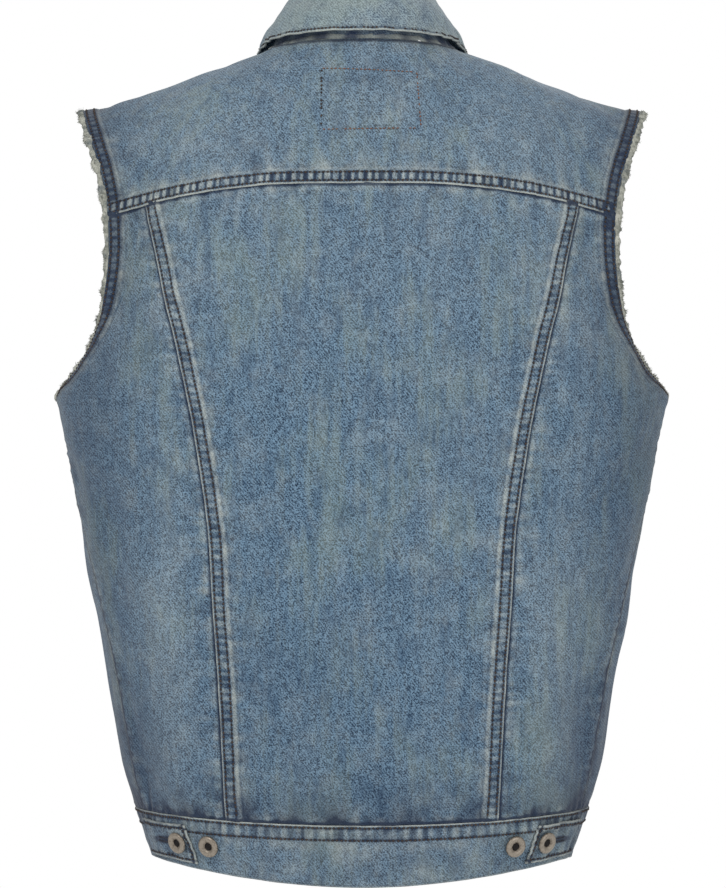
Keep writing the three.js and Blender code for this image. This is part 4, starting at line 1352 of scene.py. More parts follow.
@dataclass(frozen=True)
class MetalFinish:
    """Old copper-plated zinc, darker in its hollows and rubbed on its rims."""

    name: str = "old_copper"
    rubbed: str = "#938a7e"
    plate: str = "#60564c"
    dull: str = "#1e1b1b"

    def material(self) -> bpy.types.Material:
        """Builds the material."""
        made = bpy.data.materials.new(self.name)
        made.use_nodes = True
        t = Tree(made.node_tree)
        shader = made.node_tree.nodes["Principled BSDF"]
        place = t.node("TexCoord").outputs["Object"]
        patch = t.ramp(t.noise(place, 420, 4, 0.65), 0.38, 0.64)
        rim = t.node("Attribute", attribute_name="wear").outputs["Fac"]
        colour = t.blend(patch, linear(self.plate), linear(self.rubbed))
        colour = t.blend(t.ramp(rim, -0.1, -0.8), colour, linear(self.dull))
        rubbed = t.math("MULTIPLY", rim, t.ramp(t.noise(place, 700, 2), 0.3, 0.6, (0.45, 1.0)), clamp=True)
        t.put(shader.inputs["Base Color"], t.blend(rubbed, colour, linear(self.rubbed)))
        t.put(shader.inputs["Roughness"], t.ramp(rubbed, 0, 1, (0.52, 0.32)))
        shader.inputs["Metallic"].default_value = 0.7
        bump = t.node("Bump")
        bump.inputs["Strength"].default_value = 0.4
        bump.inputs["Distance"].default_value = 0.0003
        t.put(bump.inputs["Height"], t.noise(place, 900, 3, 0.6))
        t.put(shader.inputs["Normal"], bump.outputs[0])
        return made


@dataclass(frozen=True)
class FrayFinish:
    """Bleached cotton ends, off-white with some blue and grey left."""

    name: str = "frayed_cotton"
    white: str = "#b3b4aa"
    grey: str = "#83867e"
    blue: str = "#5f6b74"

    def material(self) -> bpy.types.Material:
        """Builds the material."""
        made = bpy.data.materials.new(self.name)
        made.use_nodes = True
        t = Tree(made.node_tree)
        shader = made.node_tree.nodes["Principled BSDF"]
        place = t.node("TexCoord").outputs["Object"]
        mottle = t.ramp(t.noise(place, 160, 4, 0.65), 0.36, 0.62)
        colour = t.blend(mottle, linear(self.grey), linear(self.white))
        stain = t.math("MULTIPLY", t.ramp(t.noise(place, 75, 3, 0.6), 0.52, 0.68), 0.6)
        t.put(shader.inputs["Base Color"], t.blend(stain, colour, linear(self.blue)))
        shader.inputs["Roughness"].default_value = 0.95
        shader.inputs["Specular IOR Level"].default_value = 0.1
        bump = t.node("Bump")
        bump.inputs["Distance"].default_value = 0.0006
        t.put(bump.inputs["Height"], t.noise(place, 1500, 3, 0.7))
        t.put(shader.inputs["Normal"], bump.outputs[0])
        return made


class Workshop:
    """What the sub-assemblies share: finishes, threads and the record of what is made."""

    def __init__(self) -> None:
        shaders = Shaders()
        self.denim = DenimFinish().material(shaders)
        self.reverse = DenimFinish(
            "denim_wrong_side", warp="#66747f", weft="#a9b2b4", yellow="#9fa396", deep="#4a5d70", seams=False
        ).material(shaders)
        self.pale_denim = DenimFinish(
            "worn_denim", warp="#283f55", weft="#8399a5", bare=0.02
        ).material(shaders)
        # The stand's darkest blue is that of the painted shade under the leaf.
        self.stand_denim = DenimFinish(
            "stand_denim", warp="#2c4362", weft="#86a0b4", shade_and_stain="#1d3158"
        ).material(shaders)
        self.metal = MetalFinish().material()
        self.cotton = FrayFinish().material()
        self.brown = Stitches("sewing_brown")
        self.rust = Stitches("sewing_rust", length=2.9, pitch=3.3, width=1.2)
        self.holes = Stitches("buttonhole_thread", width=0.55, high=0.3)

    def keep(self, piece: bpy.types.Object, slot: str, nodes: Sequence[str] = ()) -> bpy.types.Object:
        """Lets a finished piece ride, and hides the nodes that it stands for."""
        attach(piece, "root")
        if nodes:
            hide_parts(*nodes)
        log.info("%s: %d faces", piece.name, len(piece.data.polygons) if piece.type == "MESH" else 0)
        return piece

    def cloth(
        self, name: str, grid: Grid, thickness: float, sides: Sequence[bpy.types.Material], held: str,
        rests: Sequence[str],
    ) -> bpy.types.Object:
        """Args:
            name: Node that the piece stands for.
            grid: Its outer side.
            thickness: Of the wall.
            sides: Materials of the outer and the inner side.
            held: How the cloth is held. Not used.
            rests: Nodes that it rests on. Not used.

        Returns:
            The piece.
        """
        grid.name = f"{name}_cloth"
        piece = grid.build(thickness, sides)
        self.keep(piece, "denim", [name])
        along, rise = grid.along(), grid.rise()
        return piece

    def panel(
        self, panel: Panel, held: str = "hung", rests: Sequence[str] = ("collar",), trim: float = 3
    ) -> Grid:
        """Builds a panel with the sewing along its edges.

        Args:
            panel: The panel.
            held: How the cloth is held. Passed on to cloth, which does not use it.
            rests: Nodes that it rests on. Passed on to cloth, which does not use it.
            trim: What each row of sewing leaves off at its ends.

        Returns:
            The panel's grid.
        """
        grid = panel.grid()
        self.cloth(panel.name, grid, panel.thick * 0.72, (self.denim, self.reverse), held, rests)
        for k, edge in enumerate(panel.edges):
            for distance in edge.stitches:
                self.brown.row(*panel.line(grid, k, distance, (trim, trim)))
        return grid


def frame_at(face: Face, s: float, v: float, out: float) -> tuple[Array, Array, Array, Array]:
    """Point of the shell moved out, with the directions along, up and out of the cloth."""
    s1, v1 = np.array([s]), np.array([v])
    normal = SHELL.normal(face, s1, v1)[0]
    along = unit(SHELL.point(face, s1 + TINY, v1) - SHELL.point(face, s1 - TINY, v1))[0]
    return SHELL.point(face, s1, v1)[0] + normal * out, along, np.cross(normal, along), normal


class BackOfVest:
    """Yoke, centre panel and the two side panels."""

    seat: tuple[Spot, ...] = (
        Spot(-60, -470, 70, 60, 0.08),
        Spot(70, -330, 60, 90, -0.05),
        Spot(-150, -420, 22, 120, -0.08),
        Spot(165, -430, 26, 130, -0.08),
        # Painted shade just above the waistband seam.
        Spot(0, -578, 120, 12, 0.16),
    )
    yoke_spots: tuple[Spot, ...] = (
        Spot(2, -31, 24, 5, 0.35),
        Spot(-158, -124, 7, 3.6, -0.4),
        Spot(158, -124, 7, 3.6, -0.4),
        Spot(6, -50, 34, 20, -0.05),
        Spot(-120, -70, 60, 26, -0.06),
        Spot(110, -78, 60, 30, -0.05),
    )

    def __init__(self, shop: Workshop) -> None:
        self.shop = shop

    def build(self) -> None:
        """Makes the four panels and their sewing."""
        over_seams = tuple(Spot(side.value * 160, -123, 9, 7, 0.5) for side in Side)
        yoke = Panel(
            "back_yoke", BACK, (level(-1), level(1), YOKE_V, level(2)),
            (armhole_band(), armhole_band(), YOKE_HEM, NECK_EDGE), columns=270, rows=90, seed=11,
            spots=self.yoke_spots, lumps=over_seams, fine=(10, 10, 12, 8),
        )
        self.rectangle(self.shop.panel(yoke))
        centre = Panel(
            "back_center_panel", BACK, (mirrored(PRINCESS_S), PRINCESS_S, level(V_WAIST), YOKE_V),
            (PRINCESS_LAP, PRINCESS_LAP, SEWN_IN, TUCKED), columns=130, rows=240, seed=23, spots=self.seat,
        )
        self.shop.panel(centre)
        for side in Side:
            right = side is Side.RIGHT
            band = armhole_band(above_armpit)
            lines = (PRINCESS_S, level(1)) if right else (level(-1), mirrored(PRINCESS_S))
            edges = (TUCKED, band) if right else (band, TUCKED)
            panel = Panel(
                f"back_side_panel_{side.word}", BACK, (*lines, level(V_WAIST), YOKE_V),
                (*edges, SEWN_IN, TUCKED), columns=80, rows=240, seed=37 + side.value,
                spots=self.seat, below=((int(right), SIDE_UNDER),),
            )
            self.shop.panel(panel)

    def rectangle(self, grid: Grid) -> None:
        """Sewing left round the place of a patch, much of it worn away."""
        corners = ((-31, -21.5), (42, -24.5), (45, -69), (-31, -70))
        threads = (self.shop.rust, self.shop.rust, self.shop.rust, self.shop.brown)
        for k, (thread, keep) in enumerate(zip(threads, (0.97, 0.75, 0.8, 0.6))):
            (x0, z0), (x1, z1) = corners[k], corners[(k + 1) % 4]
            t = np.linspace(0, 1, 60)
            x, z = x0 + (x1 - x0) * t, z0 + (z1 - z0) * t
            near, normal = grid.nearest(pack(x, 0 * x, z), (0, 2))
            thread.row(pack(x, near[:, 1] - 0.25, z), normal, keep)


def closing_edge(side: Side, top: float) -> Table:
    """Closing edge of one side's cloth down the front, up to v = top."""
    return Table(lambda v: SHELL.s_at_x(FRONT, -side.value * CLOSURE.overlap, v), 0, top)


class Fronts:
    """The two fronts, closed down the middle with the left one on top."""

    def __init__(self, shop: Workshop) -> None:
        self.shop = shop

    def build(self) -> None:
        """Makes both fronts and their sewing."""
        band = armhole_band(above_armpit)
        placket = Edge(1, 36, CLOTH.lap, rope=0, crest=0.8, stitches=(2.4, 33.2), pucker=0.22)
        plain = Edge(1, 3, 0, crest=0.3, pucker=0.2)
        for side in Side:
            far, closing = level(side.value), closing_edge(side, 2)
            lines = (far, closing) if side is Side.LEFT else (closing, far)
            edges = (band, placket) if side is Side.LEFT else (plain, band)
            on_top = ((0 if side is Side.LEFT else 1, SIDE_LAP),)
            step_in = 0 if side is Side.LEFT else CLOTH.thick + CLOTH.rest
            panel = Panel(
                f"front_panel_{side.word}", FRONT, (*lines, level(V_WAIST), level(2)),
                (*edges, SEWN_IN, TUCKED), columns=120, rows=236, seed=53 + side.value,
                step_in=step_in, below=on_top,
            )
            self.shop.panel(panel)


class Waistband:
    """Band round the waist, one piece behind and two in front, and the two tabs on it."""

    tab_share: float = 5 * 2 / 32
    tab_slant: float = 7
    tab_beyond: float = 4
    tab_low: float = 0.13
    tab_high: float = 0.84

    def __init__(self, shop: Workshop) -> None:
        self.shop = shop

    def build(self) -> None:
        """Makes the band, then the tabs."""
        top = Edge(
            1, 12.5, 0.45, rope=0.45, crest=0.9, stitches=(1.9, 11.6), pucker=0.5, gather=0.1, period=9
        )
        foot = Edge(0.5, 4, crest=0.7, pucker=0.12, gather=0.1)
        side_edge = Edge(1, 3, 0, crest=0.4, pucker=0.15)
        heights = (level(0), level(V_WAIST))
        back = Panel(
            "waistband_back", BACK, (level(-1), level(1), *heights), (side_edge, side_edge, foot, top),
            columns=260, rows=38, thick=CLOTH.band, seed=71, fine=(3, 3, 5, 12), faded=0.07,
        )
        self.shop.panel(back, trim=1)
        for side in Side:
            far, closing = level(side.value), closing_edge(side, 1)
            lines = (far, closing) if side is Side.LEFT else (closing, far)
            front = Panel(
                f"waistband_front_{side.word}", FRONT, (*lines, *heights), (side_edge, side_edge, foot, top),
                columns=140, rows=38, thick=CLOTH.band, seed=73 + side.value, fine=(3, 3, 5, 12), faded=0.07,
                step_in=0 if side is Side.LEFT else CLOTH.band + CLOTH.rest,
            )
            self.shop.panel(front, trim=1)
            self.tab(side)

    def tab(self, side: Side) -> None:
        """Makes one waist tab with its sewing and buttonhole."""
        last = side.value * (1 - self.tab_share)
        per = float(SHELL.per_unit(BACK, np.array([last]), np.array([V_WAIST / 2]))[0][0])

        def end(v: Array) -> Array:
            """s of the tab's free end, which slants."""
            down = (self.tab_high * V_WAIST - v) / ((self.tab_high - self.tab_low) * V_WAIST)
            return last + side.value * (self.tab_slant * (0.5 - down) - self.tab_beyond) / per

        far = level(side.value * 0.999)
        lines = (end, far) if side is Side.RIGHT else (far, end)
        turned = Edge(1, 3.4, rope=0.9, crest=0.85, stitches=(2.6,), pucker=0.5, gather=0.7, period=5)
        plain = Edge(1, 2, 0, crest=0.3)
        edges = (turned, plain) if side is Side.RIGHT else (plain, turned)
        # at marks the buttonhole's slot, whose dark spot is painted shade in the opening.
        at, _, _, _ = frame_at(BACK, last + side.value * 25.5 / per, V_WAIST / 2, 0)
        heights = (level(self.tab_low * V_WAIST), level(self.tab_high * V_WAIST))
        panel = Panel(
            f"waist_tab_{side.word}", BACK, (*lines, *heights), (*edges, turned, turned),
            columns=56, rows=40, thick=CLOTH.tab, seed=81 + side.value,
            fine=(4, 4, 4, 4), step=1.0, out=CLOTH.band / 2 + CLOTH.rest + CLOTH.tab / 2 + 0.2,
            spots=(Spot(at[0], at[2], 4.4, 1.9, 4),), faded=0.08,
        )
        grid = self.shop.panel(panel, held="stretched", rests=("waistband_back",), trim=1.5)
        s = np.linspace(last + side.value * 19 / per, last + side.value * 31 / per, 20)
        v = np.full_like(s, V_WAIST / 2)
        middle, normal = grid.nearest(SHELL.point(BACK, s, v))
        middle = middle + 0.3 * normal
        for off in (-1.3, 1.3):
            self.shop.holes.row(middle + np.array([0, 0, off]), normal, pitch=0.75, across=2.0)


@dataclass
class Button:
    """Open-centred shank button, turned about its shank. Sizes in millimetres."""

    name: str
    face: Face
    s: float
    v: float
    foot: float
    shank: float
    turns: int = 36

    def build(self, shop: Workshop) -> bpy.types.Object:
        """Spins the profile and sets it on the cloth.

        Args:
            shop: Shared finishes.

        Returns:
            The button.
        """
        k = self.shank
        profile = (
            (0.0, 0.0), (2.4, 0.0), (2.4, k), (6.6, k), (7.8, k + 0.35), (8.4, k + 0.95),
            (8.5, k + 1.4), (8.25, k + 2.1), (7.6, k + 2.65), (6.8, k + 2.9), (5.9, k + 2.95),
            (5.0, k + 2.75), (4.1, k + 2.35), (3.3, k + 1.75), (2.8, k + 1.1), (2.5, k + 0.7),
            (1.6, k + 0.5), (0.0, k + 0.45),
        )
        bm = bmesh.new()
        verts = [bm.verts.new((r, 0, h)) for r, h in profile]
        edges = [bm.edges.new(pair) for pair in zip(verts, verts[1:])]
        bmesh.ops.spin(
            bm, geom=verts + edges, cent=(0, 0, 0), axis=(0, 0, 1), angle=2 * math.pi,
            steps=self.turns, use_merge=True,
        )
        bmesh.ops.remove_doubles(bm, verts=bm.verts, dist=1e-4)
        bmesh.ops.recalc_face_normals(bm, faces=bm.faces)
        worn = []
        centre, along, up, normal = frame_at(self.face, self.s, self.v, self.foot)
        for vert in bm.verts:
            r, h = math.hypot(vert.co.x, vert.co.y), vert.co.z - k
            worn.append(max(0.0, min(1.0, (h - 1.9) / 0.8)) if r > 3 else -1.0)
            place = centre + along * vert.co.x + up * vert.co.y + normal * vert.co.z
            vert.co = Vector(place * MM)
        for face in bm.faces:
            face.smooth = True
        mesh = bpy.data.meshes.new(self.name)
        bm.to_mesh(mesh)
        bm.free()
        float_layer(mesh, "wear", np.array(worn))
        mesh.materials.append(shop.metal)
        piece = new_object(self.name + "_donut", mesh)
        return shop.keep(piece, "button_metal", [self.name])


class Buttons:
    """All ten buttons."""

    front_heights: tuple[float, ...] = (-108, -206, -304, -402, -500)
    tab_in: float = 8
    spare_on: float = 19

    def __init__(self, shop: Workshop) -> None:
        self.shop = shop

    def build(self) -> None:
        """Makes the front, waistband, tab and spare buttons, and the front buttonholes."""
        for k, z in enumerate(self.front_heights):
            v = SHELL.v_at_z(FRONT, 0.0, z)
            shank = CLOTH.thick + CLOTH.lap + 3 * CLOTH.rest
            Button(f"front_button_{k + 1}", FRONT, 0, v, -CLOTH.thick / 2, shank).build(self.shop)
            self.hole(v, CLOTH.thick / 2 + CLOTH.lap + 0.2)
        middle = V_WAIST / 2
        shank = CLOTH.band + 2 * CLOTH.rest
        Button("waistband_button", FRONT, 0, middle, -CLOTH.band / 2, shank).build(self.shop)
        self.hole(middle, CLOTH.band / 2 + 0.2)
        for side in Side:
            last = side.value * (1 - Waistband.tab_share)
            per = float(SHELL.per_unit(BACK, np.array([last]), np.array([middle]))[0][0])
            foot = CLOTH.band / 2 + CLOTH.gap
            through = CLOTH.tab + 2 * CLOTH.rest - CLOTH.gap + 0.5
            on_tab = last + side.value * self.tab_in / per
            beyond = last - side.value * self.spare_on / per
            Button(f"tab_button_{side.word}", BACK, on_tab, middle, foot, through).build(self.shop)
            Button(f"spare_button_{side.word}", BACK, beyond, middle, foot, 1.5).build(self.shop)

    def hole(self, v: float, out: float) -> None:
        """Sewing round a level buttonhole of the left front."""
        centre, along, up, normal = frame_at(FRONT, 0, v, out)
        for off in (-1.4, 1.4):
            reach = np.linspace(-14, 4, 20)[:, None]
            line = centre + np.sign(along[0]) * along * reach + up * off
            self.shop.holes.row(line, np.repeat(normal[None], len(line), 0), pitch=0.8, across=2.1)


@dataclass
class Collar:
    """Stand and leaf in one piece, folded outwards along its top. Sizes in millimetres."""

    shop: Workshop
    fold_half: float = 52
    fold_back: tuple[float, float] = (-58, 41)
    fold_side: float = 40
    fold_front: tuple[float, float] = (80, -62)
    roll: float = 3.2
    leaf_back: tuple[float, float] = (-82, 7.5)
    leaf_side: tuple[float, float, float] = (77.8, 10, 5.5)
    leaf_wide: tuple[float, float] = (92, -58)
    leaf_tip: tuple[float, float] = (58, -128)
    clear: float = 7
    neck_gap: float = 1.1
    front_stations: tuple[float, ...] = (0.03, 0.0675, 0.09, 0.135, 0.18, 0.225, 0.25)
    back_stations: tuple[float, ...] = (0.27, 0.2025, 0.135, 0.0675)

    def off_front(self, x: float, z: float) -> Array:
        """Point so far out from the front at x and z in the front view."""
        s, v = np.array([NECK.share]), np.array([1.8])
        for _ in range(6):
            z_now = np.minimum(z, SHELL.top_edge(FRONT, s)[..., 2] - 0.01)
            v = solve(
                lambda q: SHELL.smooth_point(FRONT, s, q)[..., 2] - z_now, np.zeros(1), np.full(1, 2.0)
            )
            s = solve(
                lambda q: SHELL.smooth_point(FRONT, q, v)[..., 0] - x, np.full(1, -0.1), np.full(1, 0.99)
            )
        return (SHELL.point(FRONT, s, v) + SHELL.normal(FRONT, s, v) * self.clear)[0]

    def station(self, face: Face, s: float, side: int, ways: Array) -> Array:
        """Section of the collar at one place of the neck seam.

        Args:
            face: Back or front.
            s: Place along the neck seam.
            side: 1 right, -1 left.
            ways: Places from the neck seam to the leaf's edge, 0 to 1.

        Returns:
            Its points.
        """
        turn = s / NECK.share * math.pi / 2
        cos, sin = math.cos(turn), math.sin(turn)
        sign = face.value
        here = np.array([s])
        normal = SHELL.normal_of(SHELL.smooth_point, face, here, np.array([2 - TINY]))[0]
        ahead = SHELL.top_edge(face, here + TINY)[0]
        behind = SHELL.top_edge(face, np.abs(here - TINY))[0]
        up = unit(np.cross(normal, unit(ahead - behind)) * sign)
        base = SHELL.point(face, here, np.array([2.0]))[0] + up * self.neck_gap
        radial = np.array([sin, -sign * cos, 0])
        share = cos * cos if face is BACK else abs(cos) ** 1.3
        fold_y, fold_z = self.fold_back if face is BACK else self.fold_front
        top_y, top_z = mix(NECK.seam_y, fold_y, cos), mix(self.fold_side, fold_z, share)
        top = np.array([self.fold_half * sin, top_y, top_z])
        side_x, side_y, side_z = self.leaf_side
        if face is BACK:
            back_y, back_z = self.leaf_back
            edge = np.array([side_x * sin**0.92, mix(side_y, back_y, cos), mix(side_z, back_z, cos**1.6)])
        else:
            w = 1 - s / NECK.share
            weights = ((1 - w) ** 2, 2 * w * (1 - w), w * w)
            xs = (side_x, self.leaf_wide[0] + 4, self.leaf_tip[0])
            zs = (side_z, self.leaf_wide[1], self.leaf_tip[1])
            edge = self.off_front(*(sum(a * b for a, b in zip(weights, row)) for row in (xs, zs)))
        inner = top - radial * self.roll * 0.2
        outer = top + radial * self.roll * 1.8 - np.array([0, 0, self.roll * 0.3])
        crest = top + radial * self.roll * 0.8 + np.array([0, 0, self.roll])
        bulge = radial * (2.5 if face is BACK else 6)
        knots = [
            base, base + up * 5, mix(base, inner, 0.6) + radial, inner, crest, outer,
            mix(outer, edge, 0.5) + bulge, edge,
        ]
        return through(np.array(knots), ways) * np.array([side, 1, 1])

    def grid(self) -> Grid:
        """Fine grid over all the stations, from the left front end round to the right one."""
        stand = np.linspace(0, 0.40, 22, endpoint=False)
        fold = np.linspace(0.40, 0.62, 26, endpoint=False)
        ways = np.concatenate([stand, fold, np.linspace(0.62, 1, 40)])
        half = [(FRONT, s) for s in self.front_stations] + [(BACK, s) for s in self.back_stations]
        left = [self.station(face, s, -1, ways) for face, s in half]
        right = [self.station(face, s, 1, ways) for face, s in reversed(half)]
        stations = np.stack([*left, self.station(BACK, 0, 1, ways), *right], 1)
        gaps = np.linalg.norm(np.diff(stations, axis=1), axis=-1).mean(0)
        count = int(gaps.sum() / 1.9)
        knots = np.concatenate([[0], np.cumsum(gaps)])
        at = np.linspace(0, knots[-1], count)
        k = np.clip(np.searchsorted(knots, at, side="right") - 1, 0, len(knots) - 2)
        slope = np.gradient(stations, knots, axis=1)
        span = (knots[k + 1] - knots[k])[None, :, None]
        t = ((at - knots[k])[None, :, None]) / span
        point = hermite(stations[:, k], slope[:, k] * span, stations[:, k + 1], slope[:, k + 1] * span, t)
        along, up = np.gradient(point, axis=1), np.gradient(point, axis=0)
        normal = unit(np.cross(along, up))
        leaf, middle = len(ways) - 12, count // 2
        flip = bool(normal[leaf, middle, 1] > 0)
        made = Grid("collar", point, -normal if flip else normal, flip)
        run, rise = made.along(), made.rise()
        to_edge, to_end = rise[-1:] - rise, np.minimum(run - run[:, :1], run[:, -1:] - run)
        lift = 0.30 * Ripple(91, 9)(run, rise) * np.exp(-to_edge / 6) + 0.35 * Ripple(92, 24)(run, rise)
        lift = lift + 0.6 * Ripple(93, 11)(run, rise / 3) * np.exp(-rise / 9)
        lift = lift + 0.5 * np.exp(-((rise - 0.9) ** 2))
        lift = lift - 0.2 * np.exp(-(((to_edge - 2.2) / 0.8) ** 2)) - 0.4 * smooth((1.2 - to_edge) / 1.2)
        made.point = point + made.normal * (CLOTH.collar / 2 + lift)[..., None]
        ones, none = np.ones_like(run), np.zeros_like(run)
        lower = rise < rise[-1:] / 2
        # Painted shade on the stand under the leaf, broken into patches.
        patches = np.clip(0.36 + 0.55 * Ripple(95, 22)(run, rise * 0.4), 0, 0.95)
        fold = np.exp(-(((rise / rise[-1:] - 0.5) / 0.05) ** 2))
        foot_and_leaf = np.where(lower, STAND_FOOT.drawn(rise - 3), LEAF_EDGE.drawn(to_edge))
        made.layers = {
            "seam_h": np.stack([foot_and_leaf, run, ones], -1),
            "marks_h": np.stack([ones * 0.9, none, none], -1),
            "seam_v": np.stack([LEAF_EDGE.drawn(to_end), rise, ones], -1),
            "marks_v": np.stack([ones * 0.9, none, none], -1),
            "wear": np.where(lower, 0.04, 0.15) + 0.28 * fold + 0.05 * Ripple(94, 30)(run, rise),
            "shade": lower * patches,
        }
        self.to_edge, self.to_end = to_edge, to_end
        return made

    def build(self) -> None:
        """Makes the collar and its sewing."""
        grid = self.grid()
        shop = self.shop
        sides = (shop.pale_denim, shop.stand_denim)
        shop.cloth("collar", grid, CLOTH.collar * 0.8, sides, "folded", ("back_yoke",))
        line = [at_distance(q[::-1], self.to_edge[::-1], 2.2) for q in (grid.point, grid.normal)]
        shop.brown.row(line[0][3:-3], line[1][3:-3], 0.8)
        middle = grid.point.shape[1] // 2
        low = grid.point.shape[0] // 2
        for part in (slice(0, middle), slice(None, middle, -1)):
            line = []
            for q in (grid.point, grid.normal):
                line.append(at_distance(q[low:, part].transpose(1, 0, 2), self.to_end[low:, part].T, 2.2))
            shop.brown.row(*line)


def through(knots: Array, ways: Array) -> Array:
    """Points of a centripetal curve through knots.

    Args:
        knots: One point a row.
        ways: Places along it, 0 to 1.

    Returns:
        The points.
    """
    ends = np.vstack([2 * knots[0] - knots[1], knots, 2 * knots[-1] - knots[-2]])
    place = np.clip(ways, 0, 1) * (len(knots) - 1)
    k = np.minimum(place.astype(int), len(knots) - 2)
    t = (place - k)[:, None]
    a, b, c, d = ends[k], ends[k + 1], ends[k + 2], ends[k + 3]
    pairs = ((a, b), (b, c), (c, d))
    gap = [np.maximum(np.linalg.norm(q - p, axis=1, keepdims=True) ** 0.5, 1e-4) for p, q in pairs]
    first = ((b - a) / gap[0] - (c - a) / (gap[0] + gap[1]) + (c - b) / gap[1]) * gap[1]
    last = ((c - b) / gap[1] - (d - b) / (gap[1] + gap[2]) + (d - c) / gap[2]) * gap[1]
    return hermite(b, first, c, last, t)


@dataclass
class Fray:
    """Raw edge of one armhole: a lumpy core of broken yarns with short ends all round.

    Sizes in millimetres.
    """

    shop: Workshop
    side: Side
    core: float = 2.2
    start: float = 0.1
    threads: int = 5200
    shortest: float = 0.6
    longest: float = 2.5

    def edge(self) -> tuple[Array, Array, Array]:
        """Points round the armhole, with their outward normals and the directions away from the cloth."""
        v = np.linspace(1, 2, 260)
        parts = []
        for face, places in ((BACK, v), (FRONT, v[::-1])):
            s = np.full_like(places, self.side.value)
            point = SHELL.point(face, s, places)
            normal = SHELL.normal(face, s * 0.999, np.clip(places, 0, 1.998))
            inside = SHELL.point(face, s * 0.98, places)
            parts.append((point, normal, inside))
        point, normal, inside = (np.concatenate(pair) for pair in zip(*parts))
        along = unit(np.roll(point, -2, 0) - np.roll(point, 2, 0))
        for _ in range(12):
            normal = unit(normal + 0.5 * (np.roll(normal, 1, 0) + np.roll(normal, -1, 0)))
            along = unit(along + 0.5 * (np.roll(along, 1, 0) + np.roll(along, -1, 0)))
        away = unit(np.cross(along, normal))
        away = np.where(dot(away, point - inside)[:, None] < 0, -away, away)
        return point + normal * 0.25, normal, away

    def build(self) -> None:
        """Makes the core and the ends as one mesh each, both standing for the node."""
        point, normal, away = self.edge()
        rng = np.random.default_rng(400 + self.side.value)
        steps = np.linalg.norm(np.roll(point, -1, 0) - point, axis=1)
        run = np.concatenate([[0], np.cumsum(steps)])
        loop = [np.vstack([q, q[:1]]) for q in (point, normal, away)]

        def at(where: Array) -> list[Array]:
            """Point, normal and direction away from the cloth at distances round the armhole."""
            return [np.stack([np.interp(where % run[-1], run, q[:, k]) for k in range(3)], -1) for q in loop]

        lump = Ripple(500 + self.side.value, 22)
        fine = Ripple(510 + self.side.value, 7)
        self.round = float(run[-1])
        self._core(at, run[-1], lump, fine)
        where = rng.uniform(0, run[-1], self.threads)
        base, out, off = at(where)
        along = np.cross(out, off)
        tuft = np.clip(0.55 + 0.45 * lump(where, where * 0) + 0.25 * fine(where, where * 0), 0.12, 1.25)
        spread = (self.longest - self.shortest) * tuft * rng.uniform(0.2, 1.0, len(where))
        length = (self.shortest + spread)[:, None]
        turn = rng.uniform(-1.9, 1.9, (len(where), 1))
        radius = self._radius(where, lump, fine)[:, None]
        base = base + off * (self.start + self.core * 0.7 + np.cos(turn) * radius)
        base = base + out * np.sin(turn) * radius * 0.75
        first = unit(off * np.cos(turn) + out * np.sin(turn) + along * rng.normal(0, 0.7, (len(where), 1)))
        bent = first + along * rng.normal(0, 0.8, (len(where), 1))
        second = unit(bent + out * rng.normal(0, 0.5, (len(where), 1)))
        thick = rng.uniform(0.16, 0.32, (len(where), 1))
        rings = []
        for centre, size in (
            (base, thick),
            (base + first * length * 0.5, thick * 0.9),
            (base + first * length * 0.5 + second * length * 0.5, thick * 0.35),
        ):
            for corner in (0, 2 * math.pi / 3, 4 * math.pi / 3):
                rings.append(centre + (along * math.cos(corner) + out * math.sin(corner)) * size)
        points = np.stack(rings, 1).reshape(-1, 3) * MM
        start = np.arange(0, len(points), 9)[:, None]
        faces = []
        for ring in (0, 3):
            for k in range(3):
                a, b = ring + k, ring + (k + 1) % 3
                faces += [start + np.array([[a, b, b + 3]]), start + np.array([[a, b + 3, a + 3]])]
        faces += [start + np.array([[2, 1, 0]]), start + np.array([[6, 7, 8]])]
        ends = joined(f"armhole_ends_{self.side.word}", points, np.concatenate(faces), self.shop.cotton)
        self.shop.keep(ends, "frayed_edge", [f"armhole_fray_{self.side.word}"])

    def _radius(self, where: Array, lump: Ripple, fine: Ripple) -> Array:
        """How thick the roll is at places along it."""
        uneven = 0.95 + 0.18 * lump(where, where * 0) + 0.2 * fine(where, where * 0)
        from_armpit = np.minimum(where % self.round, self.round - where % self.round)
        return self.core * np.clip(uneven, 0.6, 1.45) * (1 + 0.55 * np.exp(-((from_armpit / 55) ** 2)))

    def _core(self, at: Callable[[Array], list[Array]], total: float, lump: Ripple, fine: Ripple) -> None:
        """Lumpy roll of yarns that the ends grow from."""
        count, sides = int(total / 1.3), 10
        bm = bmesh.new()
        bmesh.ops.create_grid(bm, x_segments=sides, y_segments=count, size=1)
        where = np.arange(count + 1) * total / count
        base, out, off = at(where)
        size = self._radius(where, lump, fine)
        for vert in bm.verts:
            i = round((vert.co.x + 1) / 2 * sides) % sides
            j = round((vert.co.y + 1) / 2 * count)
            turn = 2 * math.pi * i / sides
            radius = size[j % count] * (1 + 0.12 * math.sin(3.1 * i + 1.7 * (j % count)))
            j = j % count
            place = base[j] + off[j] * (self.start + self.core * 0.7 + math.cos(turn) * radius * 1.25)
            vert.co = Vector((place + out[j] * math.sin(turn) * radius * 0.85) * MM)
        bmesh.ops.remove_doubles(bm, verts=bm.verts, dist=1e-6)
        bmesh.ops.recalc_face_normals(bm, faces=bm.faces)
        for face in bm.faces:
            face.smooth = True
        name = f"armhole_core_{self.side.word}"
        mesh = bpy.data.meshes.new(name)
        bm.to_mesh(mesh)
        bm.free()
        mesh.materials.append(self.shop.cotton)
        self.shop.keep(new_object(name, mesh), "frayed_edge", [f"armhole_fray_{self.side.word}"])


